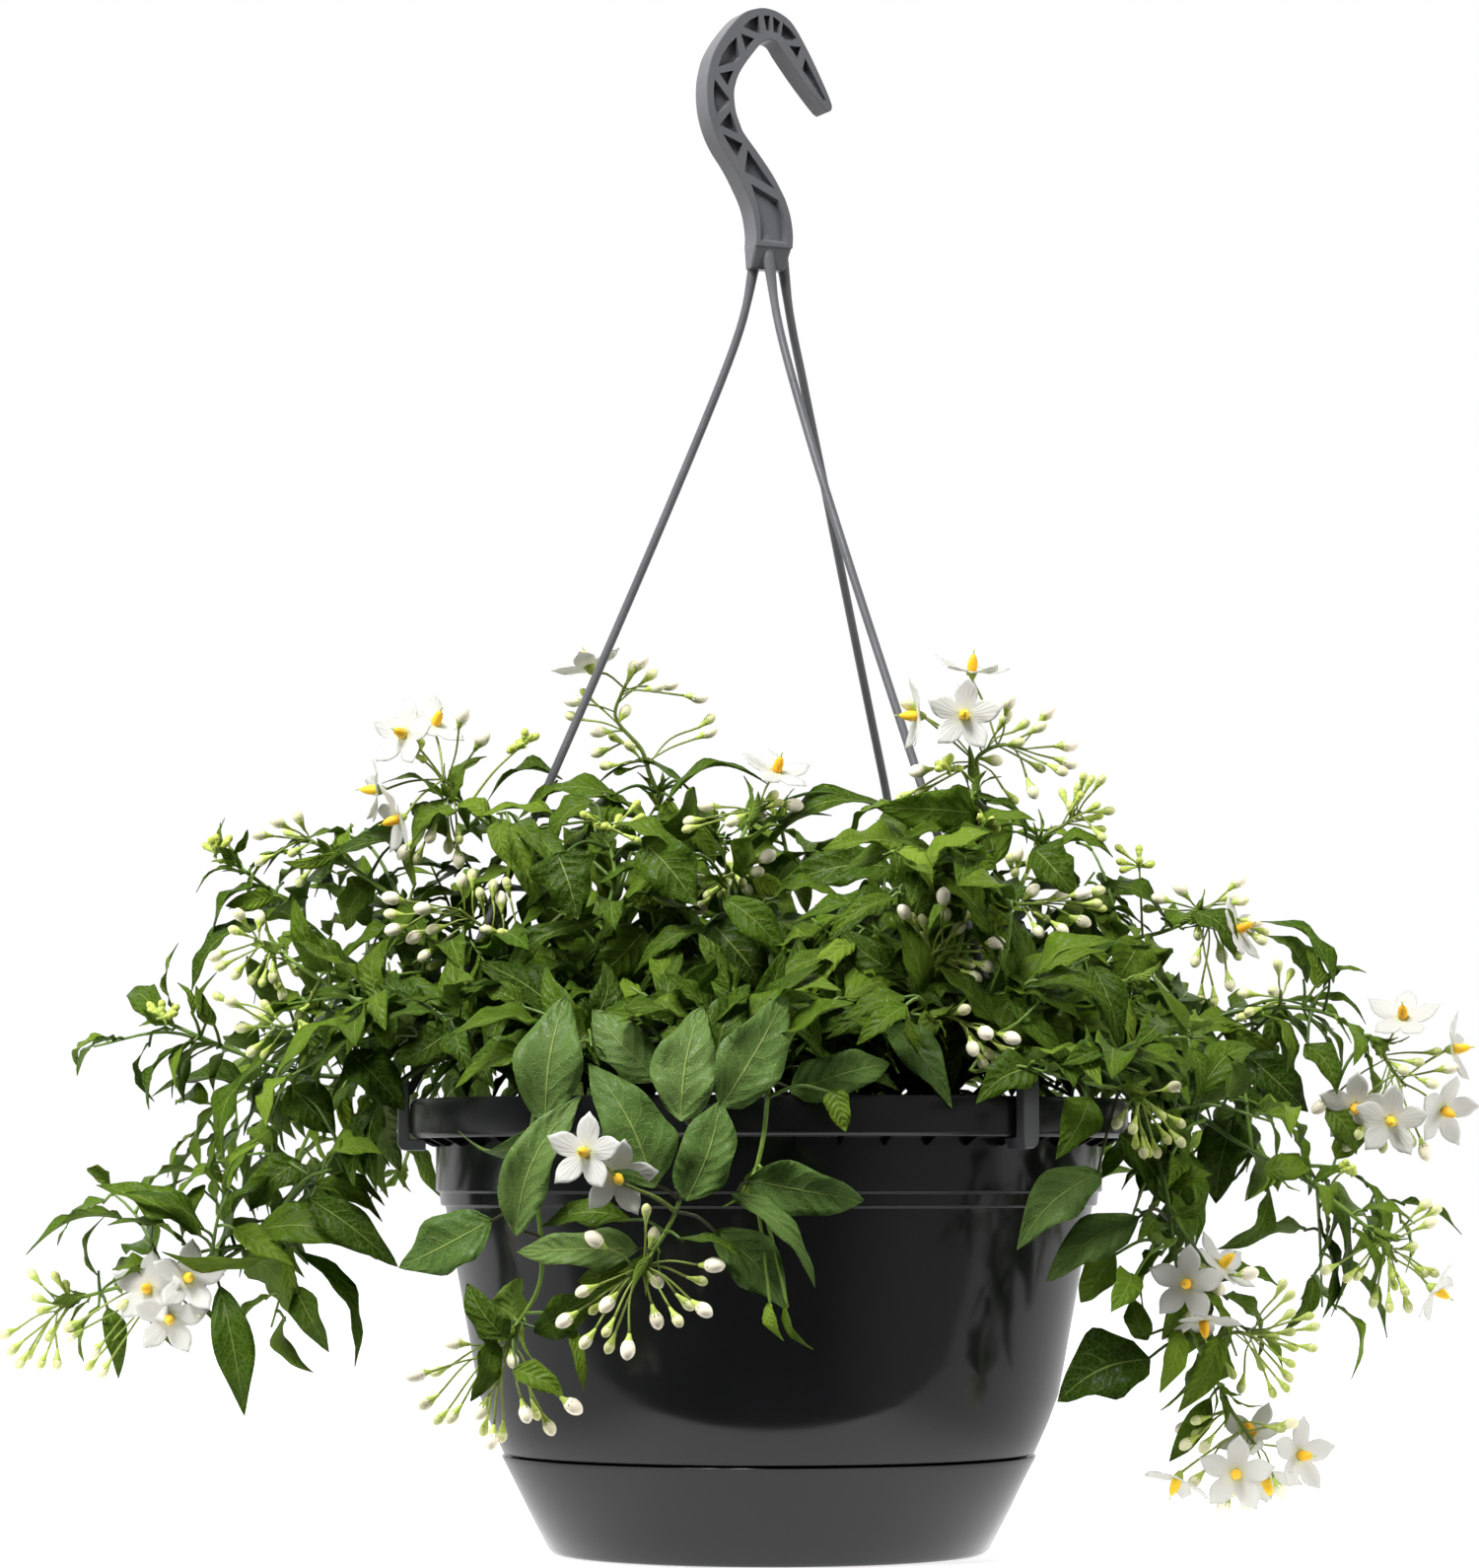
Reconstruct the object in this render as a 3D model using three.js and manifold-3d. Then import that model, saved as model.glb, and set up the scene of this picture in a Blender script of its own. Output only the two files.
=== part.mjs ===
// A potato vine in bloom in its hanging pot: a moulded pot with its clip-on drip tray, a one-piece
// hanger of a hook and three arms, potting soil, leafy shoots and the sprays of buds and white stars
// that the shoots bear. Millimetres, +Z up. Heights are written above the pot's underside, and the
// whole is lowered at the end so that the origin is the point where the hook bears on its rail.
import * as THREE from 'three';
import { mergeVertices } from 'three/addons/utils/BufferGeometryUtils.js';
import Module from 'manifold-3d';

const wasm = await Module();
wasm.setup();

// Driving dimensions, in millimetres
const RIM_RADIUS = 135;
const POT_HEIGHT = 169;
const HOOK_HEIGHT = 572;
const SOIL_HEIGHT = 157;
const FIT_GAP = 0.3;
const ROUND_SIDES = 24;
const DRAIN_RADIUS = 5;
const DRAIN_CIRCLE = 48;
const DRAIN_AZIMUTHS = [45, 135, 225, 315];
const DRAIN_SIDES = 6;
const DRAIN_TOP = 7;

const HOOK_THICKNESS = 11;
const HOOK_YAW = THREE.MathUtils.degToRad(24);
const POCKET_DEPTH = 4.2;
const PANEL_DEPTH = 2.2;
const CUT_PAST_FACE = 1;
const ARM_RADIUS = 1.6;
const ARM_SIDES = 5;
const ARM_PIECES = 8;
const ARM_AZIMUTHS = [186, -48, 60];
const CLIP_WIDTH = 8;

const STEM_SIDES = 4;
const STEM_ROOT_RADIUS = 2;
const STEM_TIP_RADIUS = 1;
const STEM_STEP = 30;
const STEM_COLLAR = 3;
const STEM_RISE = 11;
const ROOT_DEPTH = 10;
const ROOT_HOLE_RADIUS = STEM_ROOT_RADIUS + 3 * FIT_GAP;
const PETIOLE_RADIUS = 0.7;
const BLADE_HALF_THICKNESS = 0.45;
const PEDICEL_RADIUS = 0.6;
const PEDICEL_ROOT_RADIUS = 0.35;
const STALK_RADIUS = 0.9;
const STALK_SIDES = 3;
const STALK_STEP = 20;
const BUD_LENGTH = 9;
const BUD_RADIUS = 2.7;
const FLOWER_RADIUS = 14.5;
const NOTCH_RADIUS = 6.2;
const BUDS_IN_SPRAY = 4;
const LARGE_BUDS = 3;
const BRANCH_STEP = 1.6;
const SURVEYED_SHOOT_STEP = 130;
const BACK_SHOOT_STEP = 40;
const FIRST_RULE_LEAF = 46;
const LAST_RULE_LEAF = 4;
const RULE_LEAF_AT_ROOT = 52;
const RULE_LEAF_AT_TIP = 30;

// The plant was surveyed from one place: this far in front of the pot's axis, this far to the left
// and this far above the pot's underside
const EYE = new THREE.Vector3(-11, -2000, 140.6);

// Each shoot: name, where its root stands in the soil [x, y], and the points that its stem runs
// through, each [x, height, depth]. x and height are where the point is seen from EYE against the
// upright plane through the pot's axis, and depth is how far it lies behind that plane.
const SHOOTS = [
  ['shoot_left_low', [-74, -34], [[-116, 186, -38], [-146, 170, -40], [-172, 140, -34], [-203, 110, -24],
    [-247, 98, -14], [-261, 94, -12]]],
  ['shoot_left_mid', [-84, 10], [[-122, 188, 16], [-152, 178, 18], [-180, 180, 14], [-203, 188, 10],
    [-229, 199, 8]]],
  ['shoot_left_spray', [-60, -18], [[-96, 190, -44], [-118, 193, -52], [-150, 204, -50], [-172, 216, -44],
    [-186, 226, -40]]],
  ['shoot_left_high', [-62, 24], [[-108, 205, 34], [-148, 216, 34], [-172, 232, 30], [-186, 246, 26],
    [-203, 259, 24]]],
  ['shoot_left_top', [-44, 6], [[-88, 215, 2], [-122, 234, -4], [-145, 248, -8], [-163, 261, -8]]],
  ['shoot_top_left', [-30, -4], [[-60, 222, -12], [-84, 257, -15], [-105, 272, -15], [-120, 284, -15]]],
  ['shoot_top_front', [-34, -26], [[-56, 205, -46], [-62, 232, -50], [-58, 255, -48], [-63, 272, -45]]],
  ['shoot_top_airy', [-14, 14], [[-28, 220, 16], [-36, 255, 14], [-42, 285, 12]]],
  ['shoot_top_centre', [-4, -14], [[-8, 210, -30], [-12, 240, -35], [-12, 262, -35], [-6, 277, -32]]],
  ['shoot_top_right', [14, 4], [[36, 215, -40], [60, 248, -88], [74, 272, -92], [78, 288, -86]]],
  ['shoot_right_top', [34, 16], [[66, 215, 26], [92, 245, 28], [103, 266, 26]]],
  ['shoot_right_upper', [52, 28], [[92, 210, 38], [125, 227, 38], [148, 232, 32], [160, 237, 28]]],
  ['shoot_right_arch', [64, 4], [[106, 196, 4], [150, 194, 0], [180, 203, -4], [209, 202, -6],
    [229, 190, -8]]],
  ['shoot_right_low', [82, -12], [[122, 185, -20], [150, 171, -24], [178, 152, -26], [200, 140, -27],
    [229, 118, -28]]],
  ['shoot_right_front', [46, -32], [[78, 187, -106], [97, 182, -116], [113, 177, -112], [127, 174, -99],
    [137, 172, -99]]],
  ['shoot_right_hanging', [62, -26], [[106, 188, -52], [134, 172, -66], [147, 145, -74], [152, 115, -76],
    [158, 84, -76], [171, 58, -74]]],
  ['shoot_front_right', [8, -34], [[20, 189, -66], [36, 195, -86], [50, 201, -102], [64, 200, -108]]],
  ['shoot_spray_stem', [28, -16], [[45, 198, -68], [56, 212, -88], [64, 221, -96]]],
  ['shoot_front_centre', [4, -66], [[2, 186, -108], [0, 176, -138], [-2, 155, -150], [-6, 138, -150]]],
  ['shoot_front_hanging', [-24, -62], [[-28, 187, -104], [-29, 174, -138], [-30, 150, -150],
    [-35, 127, -152], [-46, 108, -154]]],
  ['shoot_front_left', [-50, -50], [[-70, 188, -92], [-84, 176, -120], [-90, 150, -131], [-86, 122, -134],
    [-86, 100, -134], [-96, 82, -132]]],
  ['shoot_right_mid', [66, -42], [[98, 200, -98], [122, 212, -98], [140, 214, -92]]],
  ['shoot_crown', [4, 30], [[2, 220, 44], [8, 250, 52], [4, 276, 52]]],
];

// Shoots of the far side, which follow one rule round the pot
const BACK_AZIMUTHS = [22, 42, 78, 96, 114, 134, 152];
const BACK_ROOT_RADIUS = 62;
const BACK_REACH = [[104, 196], [150, 206], [192, 184], [214, 150]];

// Leaves placed one by one: [base x, base height, tip x, tip height, depth, depth gained to the tip,
// width, roll]. Roll 0 shows the upper face, and 90 turns that face to the left of the blade's run.
const LEAVES = [
  [-84, 160, -77, 209, -136, 6, 23, 6], [-95, 118, -72, 171, -140, -4, 19, 14],
  [-104, 124, -139, 106, -122, 14, 20, -18], [-49, 113, -95, 112, -150, 8, 14, -14],
  [-52, 124, -86, 124, -143, 2, 12, -38], [-41, 176, -67, 204, -132, 8, 18, -6],
  [-33, 161, -25, 205, -156, 14, 22, 4], [-20, 184, -7, 213, -140, 12, 13, 10],
  [-18, 166, 8, 210, -157, 14, 22, -8], [-31, 131, -18, 169, -163, 2, 21, 6],
  [-43, 136, -68, 183, -158, 10, 24, -4], [-68, 192, -84, 220, -112, 8, 12, 20],
  [-67, 196, -61, 223, -108, 12, 12, -20], [-38, 195, -34, 226, -118, 12, 9, 26],
  [-86, 190, -113, 184, -104, 2, 12, -22], [-92, 204, -108, 210, -84, 2, 10, -30],
  [-88, 161, -117, 156, -126, 22, 9, 58], [-120, 195, -141, 183, -60, 0, 14, -10],
  [-158, 187, -137, 165, -52, -4, 16, 14], [-180, 174, -163, 156, -20, -4, 17, 16],
  [8, 172, 46, 183, -134, 14, 17, 12], [24, 173, 29, 157, -146, -2, 9, 0],
  [-14, 134, 18, 99, -158, 6, 9, 40], [-20, 120, 8, 90, -154, 6, 18, 8],
  [-34, 117, -6, 103, -162, 4, 6, 62], [-8, 139, 36, 131, -154, 6, 19, -10],
  [-52, 108, -72, 101, -146, 4, 12, 20], [-98, 79, -114, 100, -138, 2, 12, 12],
  [-96, 86, -94, 103, -130, 0, 13, 150], [-88, 82, -60, 97, -136, -2, 13, -16],
  [-104, 80, -112, 56, -136, 2, 10, 30], [-80, 262, -72, 237, -66, -6, 20, 0],
  [-66, 236, -103, 207, -62, 6, 10, -34], [-47, 233, -66, 214, -58, 4, 18, 14],
  [-24, 234, -52, 218, -66, -4, 9, -42], [-47, 266, -27, 242, -68, -8, 21, 2],
  [-17, 245, 7, 222, -72, -6, 13, 6], [-22, 236, 3, 207, -48, -6, 20, 16],
  [46, 257, 3, 251, -30, -6, 17, -22], [43, 281, -5, 262, -20, -2, 13, -52],
  [79, 277, 41, 278, -98, -2, 17, 24], [-38, 282, 0, 289, -12, 6, 10, 74],
  [-28, 287, -55, 262, -14, -10, 13, 44], [-31, 287, -68, 288, 8, 6, 8, -78],
  [-58, 284, -95, 276, -8, 0, 14, -60], [-66, 282, -82, 264, -28, -4, 12, -44],
  [-78, 290, -107, 285, -2, 4, 12, -74], [-119, 283, -108, 300, -16, 4, 8, 42],
  [-118, 278, -135, 267, -20, -4, 14, -52], [-140, 267, -172, 246, -10, 4, 11, -62],
  [-148, 252, -161, 233, 0, 4, 13, -24], [-163, 262, -191, 255, -6, 6, 7, -80],
  [-188, 249, -210, 232, 22, -4, 10, -70], [-190, 236, -218, 210, 24, -6, 12, -52],
  [-206, 190, -226, 171, 8, -4, 8, -78], [-207, 190, -221, 168, 14, 4, 6, -80],
  [-191, 181, -206, 147, 10, -6, 12, -42], [-232, 112, -203, 146, -18, 8, 10, 78],
  [-248, 91, -243, 65, -16, -2, 9, 24], [-206, 99, -196, 51, -26, -4, 15, 12],
  [-198, 112, -179, 90, -30, -6, 20, 150], [-192, 120, -146, 113, -36, -6, 17, 32],
  [-173, 132, -140, 107, -46, -8, 14, 4], [-176, 112, -153, 70, -34, 4, 9, 52],
  [-212, 137, -220, 117, -12, 4, 10, -36], [-176, 146, -195, 127, -28, 4, 15, -22],
  [54, 214, 26, 234, -94, -2, 13, 2], [45, 203, 21, 192, -104, -2, 9, -24],
  [45, 197, 69, 166, -104, -16, 14, 10], [101, 181, 78, 168, -122, -4, 15, -20],
  [121, 170, 108, 147, -118, -6, 14, -10], [103, 206, 114, 184, -104, -4, 15, 8],
  [122, 220, 133, 187, -104, -6, 12, 14], [85, 206, 103, 189, -104, -4, 18, 12],
  [91, 208, 113, 181, -112, -2, 9, 22], [125, 142, 93, 113, -104, -2, 18, -14],
  [139, 125, 104, 101, -102, 2, 15, -14], [130, 112, 117, 93, -84, 4, 13, -22],
  [132, 156, 151, 128, -70, 2, 15, 20], [143, 72, 108, 57, -80, -2, 25, -22],
  [142, 79, 136, 95, -74, 4, 10, 16], [188, 136, 170, 112, -24, -2, 12, 46],
  [186, 142, 204, 143, -30, 0, 12, 34], [176, 165, 168, 130, -18, 4, 18, -18],
  [150, 135, 167, 142, -70, 4, 9, 40], [219, 121, 228, 97, -30, 0, 5, 40],
  [203, 213, 188, 231, -6, 4, 14, -52], [213, 213, 187, 238, -10, 8, 10, -56],
  [202, 190, 214, 171, -12, -4, 11, 26], [178, 188, 204, 165, -2, 2, 17, 18],
  [210, 166, 222, 149, -12, 0, 13, 20], [160, 240, 176, 222, 22, -6, 15, 42],
  [150, 237, 120, 246, 28, 0, 12, -60], [140, 230, 130, 212, -14, -6, 17, 8],
  [178, 199, 203, 192, 0, 4, 7, 56], [81, 282, 98, 266, -88, 2, 8, 68],
  [108, 265, 130, 260, 22, -2, 10, 60], [100, 264, 116, 247, 14, -6, 17, 20],
];

// Flower sprays: name, the points that its stalk runs through [x, height, depth], its buds
// [x, height] with the largest and outermost first, and its open flowers
// [x, height, depth, and the direction that it faces].
const SPRAYS = [
  ['spray_left_top', [[-120, 287, -16], [-124, 291, -18]],
    [[-116, 315], [-108, 306], [-138, 262], [-117, 259], [-128, 268], [-121, 264], [-133, 260],
      [-117, 267]],
    [[-138, 307, -24, -0.5, -0.8, 0.2], [-148, 286, -16, -1, -0.1, 0], [-140, 275, -26, -0.8, -0.3, -0.3],
      [-126, 311, -6, 0.3, -0.6, 0.7]]],
  ['spray_left_cluster', [[-90, 231, -22], [-107, 234, -28], [-117, 241, -32]],
    [[-143, 245], [-131, 241], [-142, 233], [-134, 230], [-116, 252], [-101, 245], [-130, 223],
      [-107, 233], [-127, 233], [-143, 239], [-112, 254], [-104, 250], [-109, 247], [-99, 251],
      [-101, 232], [-127, 219]],
    []],
  ['spray_airy', [[-45, 292, 10], [-48, 301, 8], [-58, 314, 6], [-54, 326, 6]],
    [[-48, 335], [-75, 320], [-26, 321], [-37, 326], [-22, 308], [-65, 308], [-42, 325], [-54, 316],
      [-65, 300], [-51, 333], [-44, 330], [-75, 314], [-22, 313], [-53, 303], [-62, 295], [-57, 293],
      [-59, 306], [-70, 323]],
    [[-68, 333, 4, -0.3, 0.2, 0.9]]],
  ['spray_crown', [[-5, 279, -32], [-2, 283, -32]],
    [[10, 280], [-24, 280], [-3, 276], [-14, 274], [-30, 274], [2, 284], [-31, 271], [4, 281]],
    [[3, 293, -34, 0.25, -0.5, 0.8]]],
  ['spray_centre', [[-13, 254, -38], [-17, 253, -52]],
    [[0, 261], [-29, 252], [-26, 241], [-14, 260], [-4, 255], [-15, 243], [-8, 248], [-30, 245],
      [-23, 246], [-14, 247], [-10, 251], [-18, 246]],
    []],
  ['spray_top_right', [[79, 291, -86], [79, 298, -86], [88, 303, -84], [98, 301, -82]],
    [[114, 303], [106, 316], [91, 320], [56, 293], [114, 296], [100, 285], [86, 297], [103, 310],
      [90, 314], [52, 319], [111, 293], [95, 304], [57, 285], [103, 294], [97, 311], [50, 283],
      [93, 282]],
    [[77, 331, -82, 0.1, -0.2, 1], [74, 314, -94, 0, -1, 0.1], [56, 314, -90, -1, -0.2, 0]]],
  ['spray_young_right', [[105, 269, 26], [112, 273, 25], [118, 278, 24]],
    [[119, 291], [129, 278], [126, 290], [126, 268], [111, 285], [114, 280], [122, 275], [122, 290],
      [117, 287], [124, 280], [126, 271], [125, 276], [118, 284]],
    []],
  ['spray_left_buds', [[-187, 227, -40], [-194, 229, -38]],
    [[-209, 223], [-200, 239], [-192, 238], [-183, 208], [-201, 216], [-187, 215], [-202, 233],
      [-207, 219], [-195, 214], [-178, 217], [-191, 213], [-185, 212]],
    []],
  ['spray_left_lower', [[-180, 197, -46], [-187, 197, -48]],
    [[-203, 206], [-173, 195], [-199, 196], [-193, 201], [-177, 201], [-195, 187], [-176, 192],
      [-190, 205], [-190, 186], [-208, 208], [-172, 205]],
    []],
  ['spray_left_wisp', [[-168, 264, -8], [-175, 268, -8]],
    [[-193, 269], [-186, 274], [-192, 259], [-178, 276], [-177, 251], [-180, 262], [-182, 270]],
    []],
  ['spray_right_middle', [[62, 224, -99], [67, 226, -103]],
    [[66, 246], [78, 241], [86, 228], [51, 240], [83, 219], [78, 215], [72, 234], [86, 225], [67, 239],
      [58, 237], [76, 220], [70, 220], [54, 238]],
    []],
  ['spray_right_middle_low', [[66, 201, -110], [76, 197, -114]],
    [[82, 194], [92, 192], [77, 188], [93, 186], [81, 182], [74, 203], [83, 186], [86, 183], [90, 187]],
    []],
  ['spray_right_inner', [[94, 243, 22], [104, 243, 8]],
    [[119, 247], [111, 246], [100, 248], [119, 236], [94, 262], [111, 233], [102, 232], [99, 260],
      [125, 248], [124, 243], [91, 260], [93, 255], [105, 237], [126, 241]],
    []],
  ['spray_right_upper', [[161, 240, 28], [166, 241, 26], [168, 234, 22]],
    [[178, 252], [155, 249], [184, 236], [174, 246], [171, 223], [147, 245], [174, 212], [161, 221],
      [179, 244], [186, 229], [162, 231], [143, 241], [187, 232], [163, 207], [168, 206], [177, 223]],
    [[177, 233, 22, 0.7, -0.4, 0.3]]],
  ['spray_right_knot', [[193, 206, -6], [193, 210, -12]],
    [[190, 210], [179, 209], [191, 203], [192, 220], [181, 202], [197, 217], [178, 200]],
    []],
  ['spray_right_arch', [[231, 187, -9], [235, 180, -10], [240, 174, -10]],
    [[207, 166], [247, 149], [257, 181], [238, 152], [218, 152], [250, 175], [239, 180], [231, 151],
      [245, 183], [222, 156], [242, 153], [252, 187]],
    [[239, 200, -10, -0.1, -0.6, 0.6], [221, 166, -14, -0.2, -0.9, -0.2], [234, 161, -22, 0, -1, -0.1],
      [254, 165, -12, 0.5, -0.7, -0.3], [258, 188, -4, 0.9, -0.3, 0.1]]],
  ['spray_right_low', [[231, 116, -28], [236, 108, -28]],
    [[247, 130], [251, 128], [249, 123], [242, 114], [209, 105], [250, 104], [240, 91], [227, 93],
      [221, 103], [246, 104], [233, 91], [217, 102], [239, 97], [235, 99], [234, 103]],
    [[250, 98, -26, 0.8, -0.2, -0.5]]],
  ['spray_hanging_upper', [[155, 113, -76], [160, 108, -78], [163, 100, -80]],
    [[181, 104], [169, 98], [158, 90], [163, 105]],
    [[157, 100, -94, -0.2, -1, 0], [170, 107, -82, 0.6, -0.4, 0.6], [163, 86, -84, 0.1, -0.3, -0.9]]],
  ['spray_hanging_young', [[167, 79, -75], [176, 82, -74], [184, 79, -72]],
    [[204, 76], [205, 84], [193, 100], [196, 89], [195, 65], [177, 61], [189, 59], [196, 82], [203, 88],
      [196, 96], [197, 76], [185, 69], [196, 70], [190, 80], [174, 66], [194, 61]],
    []],
  ['spray_hanging_low', [[172, 55, -74], [178, 46, -74], [183, 39, -74]],
    [[170, 16], [155, 46], [192, 22], [179, 17], [159, 26], [156, 40], [196, 48], [163, 39], [168, 24],
      [174, 23], [160, 49], [192, 46], [160, 44], [177, 21]],
    [[199, 36, -76, 0.6, -0.8, 0], [175, 29, -84, -0.1, -1, 0], [153, 27, -76, -0.4, -0.2, -0.9],
      [186, 27, -70, 0.2, -0.4, -0.8], [181, 44, -68, -0.4, -0.5, 0.7]]],
  ['spray_left_low', [[-263, 93, -12], [-268, 89, -12]],
    [[-287, 81], [-277, 104], [-281, 70], [-267, 70], [-284, 75], [-275, 95], [-268, 103], [-278, 73],
      [-270, 80], [-273, 90], [-264, 100], [-273, 70]],
    []],
  ['spray_left_low_flowers', [[-228, 100, -20], [-230, 96, -22]],
    [[-240, 90], [-263, 80], [-254, 74], [-214, 89], [-243, 92], [-250, 67], [-263, 84], [-255, 69]],
    [[-233, 98, -28, -0.2, -1, 0.1], [-218, 102, -30, 0.2, -1, 0.2], [-225, 87, -30, 0.1, -1, -0.1]]],
  ['spray_front_flowers', [[-42, 132, -158], [-56, 138, -162]],
    [],
    [[-69, 149, -168, -0.3, -0.9, 0.1], [-57, 140, -160, 0.2, -0.9, -0.3]]],
  ['spray_front_hanging', [[-48, 106, -154], [-51, 104, -156]],
    [[-20, 107], [-66, 117], [-53, 75], [-77, 86], [-24, 90], [-61, 92], [-42, 86], [-42, 101], [-69, 78],
      [-43, 119], [-70, 97], [-30, 92], [-34, 86], [-60, 76], [-25, 101], [-46, 128], [-61, 82],
      [-66, 90]],
    []],
  ['spray_front_left', [[-97, 79, -132], [-99, 71, -134]],
    [[-133, 66], [-73, 54], [-119, 78], [-104, 41], [-91, 51], [-108, 52], [-96, 71], [-82, 46],
      [-129, 55], [-119, 50], [-125, 67], [-100, 43], [-107, 45], [-124, 49], [-87, 51]],
    []],
  ['spray_right_front', [[139, 171, -99], [141, 169, -101]],
    [[153, 174], [131, 160], [155, 153], [137, 158], [146, 149], [141, 149], [155, 160], [148, 163],
      [150, 154], [138, 152], [143, 149]],
    []],
];

// Seeded draws: the same numbers in the same order every time
const DRAW_FACTOR = 48271;
const DRAW_MODULUS = 2147483647;
const BUD_SEED = 300;
const LEAF_SEED = 500;
const BACK_SEED = 700;

function drawing(seed) {
  let state = seed;
  return (low, high) => {
    state = (state * DRAW_FACTOR) % DRAW_MODULUS;
    return low + (high - low) * (state / DRAW_MODULUS);
  };
}

// The point at a depth that is seen over [x, height] of the plane through the pot's axis
function seen(x, height, depth) {
  const onPlane = new THREE.Vector3(x, 0, height);
  const reach = 1 - depth / EYE.y;
  return EYE.clone().lerp(onPlane, reach);
}

// Closed meshes to solids and back
function solidOf(geometry) {
  const bare = geometry.clone();
  bare.deleteAttribute('normal');
  bare.deleteAttribute('uv');
  const merged = mergeVertices(bare, 1e-4);
  const vertProperties = new Float32Array(merged.attributes.position.array);
  const triVerts = new Uint32Array(merged.index.array);
  return new wasm.Manifold(new wasm.Mesh({ numProp: 3, vertProperties, triVerts }));
}

function geometryOf(solid) {
  const mesh = solid.getMesh();
  const geometry = new THREE.BufferGeometry();
  geometry.setAttribute('position', new THREE.BufferAttribute(mesh.vertProperties, 3));
  geometry.setIndex(new THREE.BufferAttribute(mesh.triVerts, 1));
  geometry.computeVertexNormals();
  return geometry;
}

// A geometry of these triangles, all turned round if they faced into the body
function facingOut(points, triangles) {
  let volume = 0;
  for (const [a, b, c] of triangles) {
    volume += points[a].dot(new THREE.Vector3().crossVectors(points[b], points[c])) / 6;
  }
  const order = volume < 0 ? triangles.map(([a, b, c]) => [a, c, b]) : triangles;
  const geometry = new THREE.BufferGeometry().setFromPoints(points);
  geometry.setIndex(order.flat());
  return geometry;
}

// A closed body through rings of points, ending in a point. Both faces of a blade are split into
// triangles alike, so a waved blade's faces never cross.
function loft(rings, tip) {
  const sides = rings[0].length;
  const points = [...rings.flat(), tip];
  const triangles = [];
  for (let ring = 0; ring + 1 < rings.length; ring += 1) {
    for (let side = 0; side < sides; side += 1) {
      const a = ring * sides + side;
      const b = ring * sides + (side + 1) % sides;
      const c = b + sides;
      const d = a + sides;
      if (side < sides / 2) triangles.push([a, b, c], [a, c, d]);
      else triangles.push([a, b, d], [b, c, d]);
    }
  }
  const lastRing = (rings.length - 1) * sides;
  for (let side = 0; side < sides; side += 1) {
    triangles.push([lastRing + side, lastRing + (side + 1) % sides, points.length - 1]);
  }
  for (let side = 1; side + 1 < sides; side += 1) triangles.push([0, side + 1, side]);
  return facingOut(points, triangles);
}

// Two directions square to a run, the first as near as may be to a hint. A hint that nearly
// follows the run is replaced by another.
const NEARLY_ALONG = 0.02;

function squareTo(run, hint) {
  const side = hint.clone().addScaledVector(run, -hint.dot(run));
  if (side.lengthSq() < NEARLY_ALONG) side.set(run.z, run.x, run.y).addScaledVector(run, -run.dot(side));
  side.normalize();
  return [side, new THREE.Vector3().crossVectors(run, side)];
}

function ringAt(centre, run, hint, radius, sides) {
  const [side, face] = squareTo(run, hint);
  return Array.from({ length: sides }, (_, index) => {
    const angle = (2 * Math.PI * index) / sides;
    return centre.clone()
      .addScaledVector(side, radius * Math.cos(angle))
      .addScaledVector(face, radius * Math.sin(angle));
  });
}

// A tapered stem or stalk through its points, with a straight foot below the first of them. Its
// centre line is the broken line through the middles of its rings.
function stemSolid(points, foot, rootRadius, tipRadius, sides, step) {
  const curve = new THREE.CatmullRomCurve3(points, false, 'centripetal');
  const length = curve.getLength();
  const count = Math.max(2, Math.round(length / step));
  let hint = new THREE.Vector3(0, 1, 0);
  const rings = foot ? [ringAt(foot, curve.getTangentAt(0), hint, rootRadius, sides)] : [];
  const centreLine = new THREE.CurvePath();
  for (let index = 0; index < count; index += 1) {
    const along = index / count;
    const run = curve.getTangentAt(along);
    const radius = THREE.MathUtils.lerp(rootRadius, tipRadius, along);
    hint = squareTo(run, hint)[0];
    rings.push(ringAt(curve.getPointAt(along), run, hint, radius, sides));
    const next = curve.getPointAt((index + 1) / count);
    centreLine.add(new THREE.LineCurve3(curve.getPointAt(along), next));
  }
  const lastRun = curve.getTangentAt(1);
  const lastCentre = curve.getPointAt(1).addScaledVector(lastRun, -tipRadius);
  rings.push(ringAt(lastCentre, lastRun, squareTo(lastRun, hint)[0], tipRadius, sides));
  return { solid: solidOf(loft(rings, curve.getPointAt(1))), centreLine, length };
}

// One leaf: a petiole out of the stem, then an ovate blade with waved edges, folded along its rib
// and arched, that runs out to a long point. extra widens it all round, to test its clearance.
const WIDE_STATIONS = [[0.14, 0.74], [0.34, 1], [0.58, 0.8], [0.8, 0.38]];
const MIDDLE_STATIONS = [[0.18, 0.88], [0.44, 0.96], [0.74, 0.5]];
const SMALL_STATIONS = [[0.28, 1], [0.68, 0.66]];
const WIDE_LEAF = 50;
const SMALL_LEAF = 30;
const BLADE_FOLD = 0.22;
const EDGE_WAVE = 0.13;
const EDGE_RIPPLE = 0.1;

function leafStations(length) {
  if (length < SMALL_LEAF) return SMALL_STATIONS;
  return length < WIDE_LEAF ? MIDDLE_STATIONS : WIDE_STATIONS;
}

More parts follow.
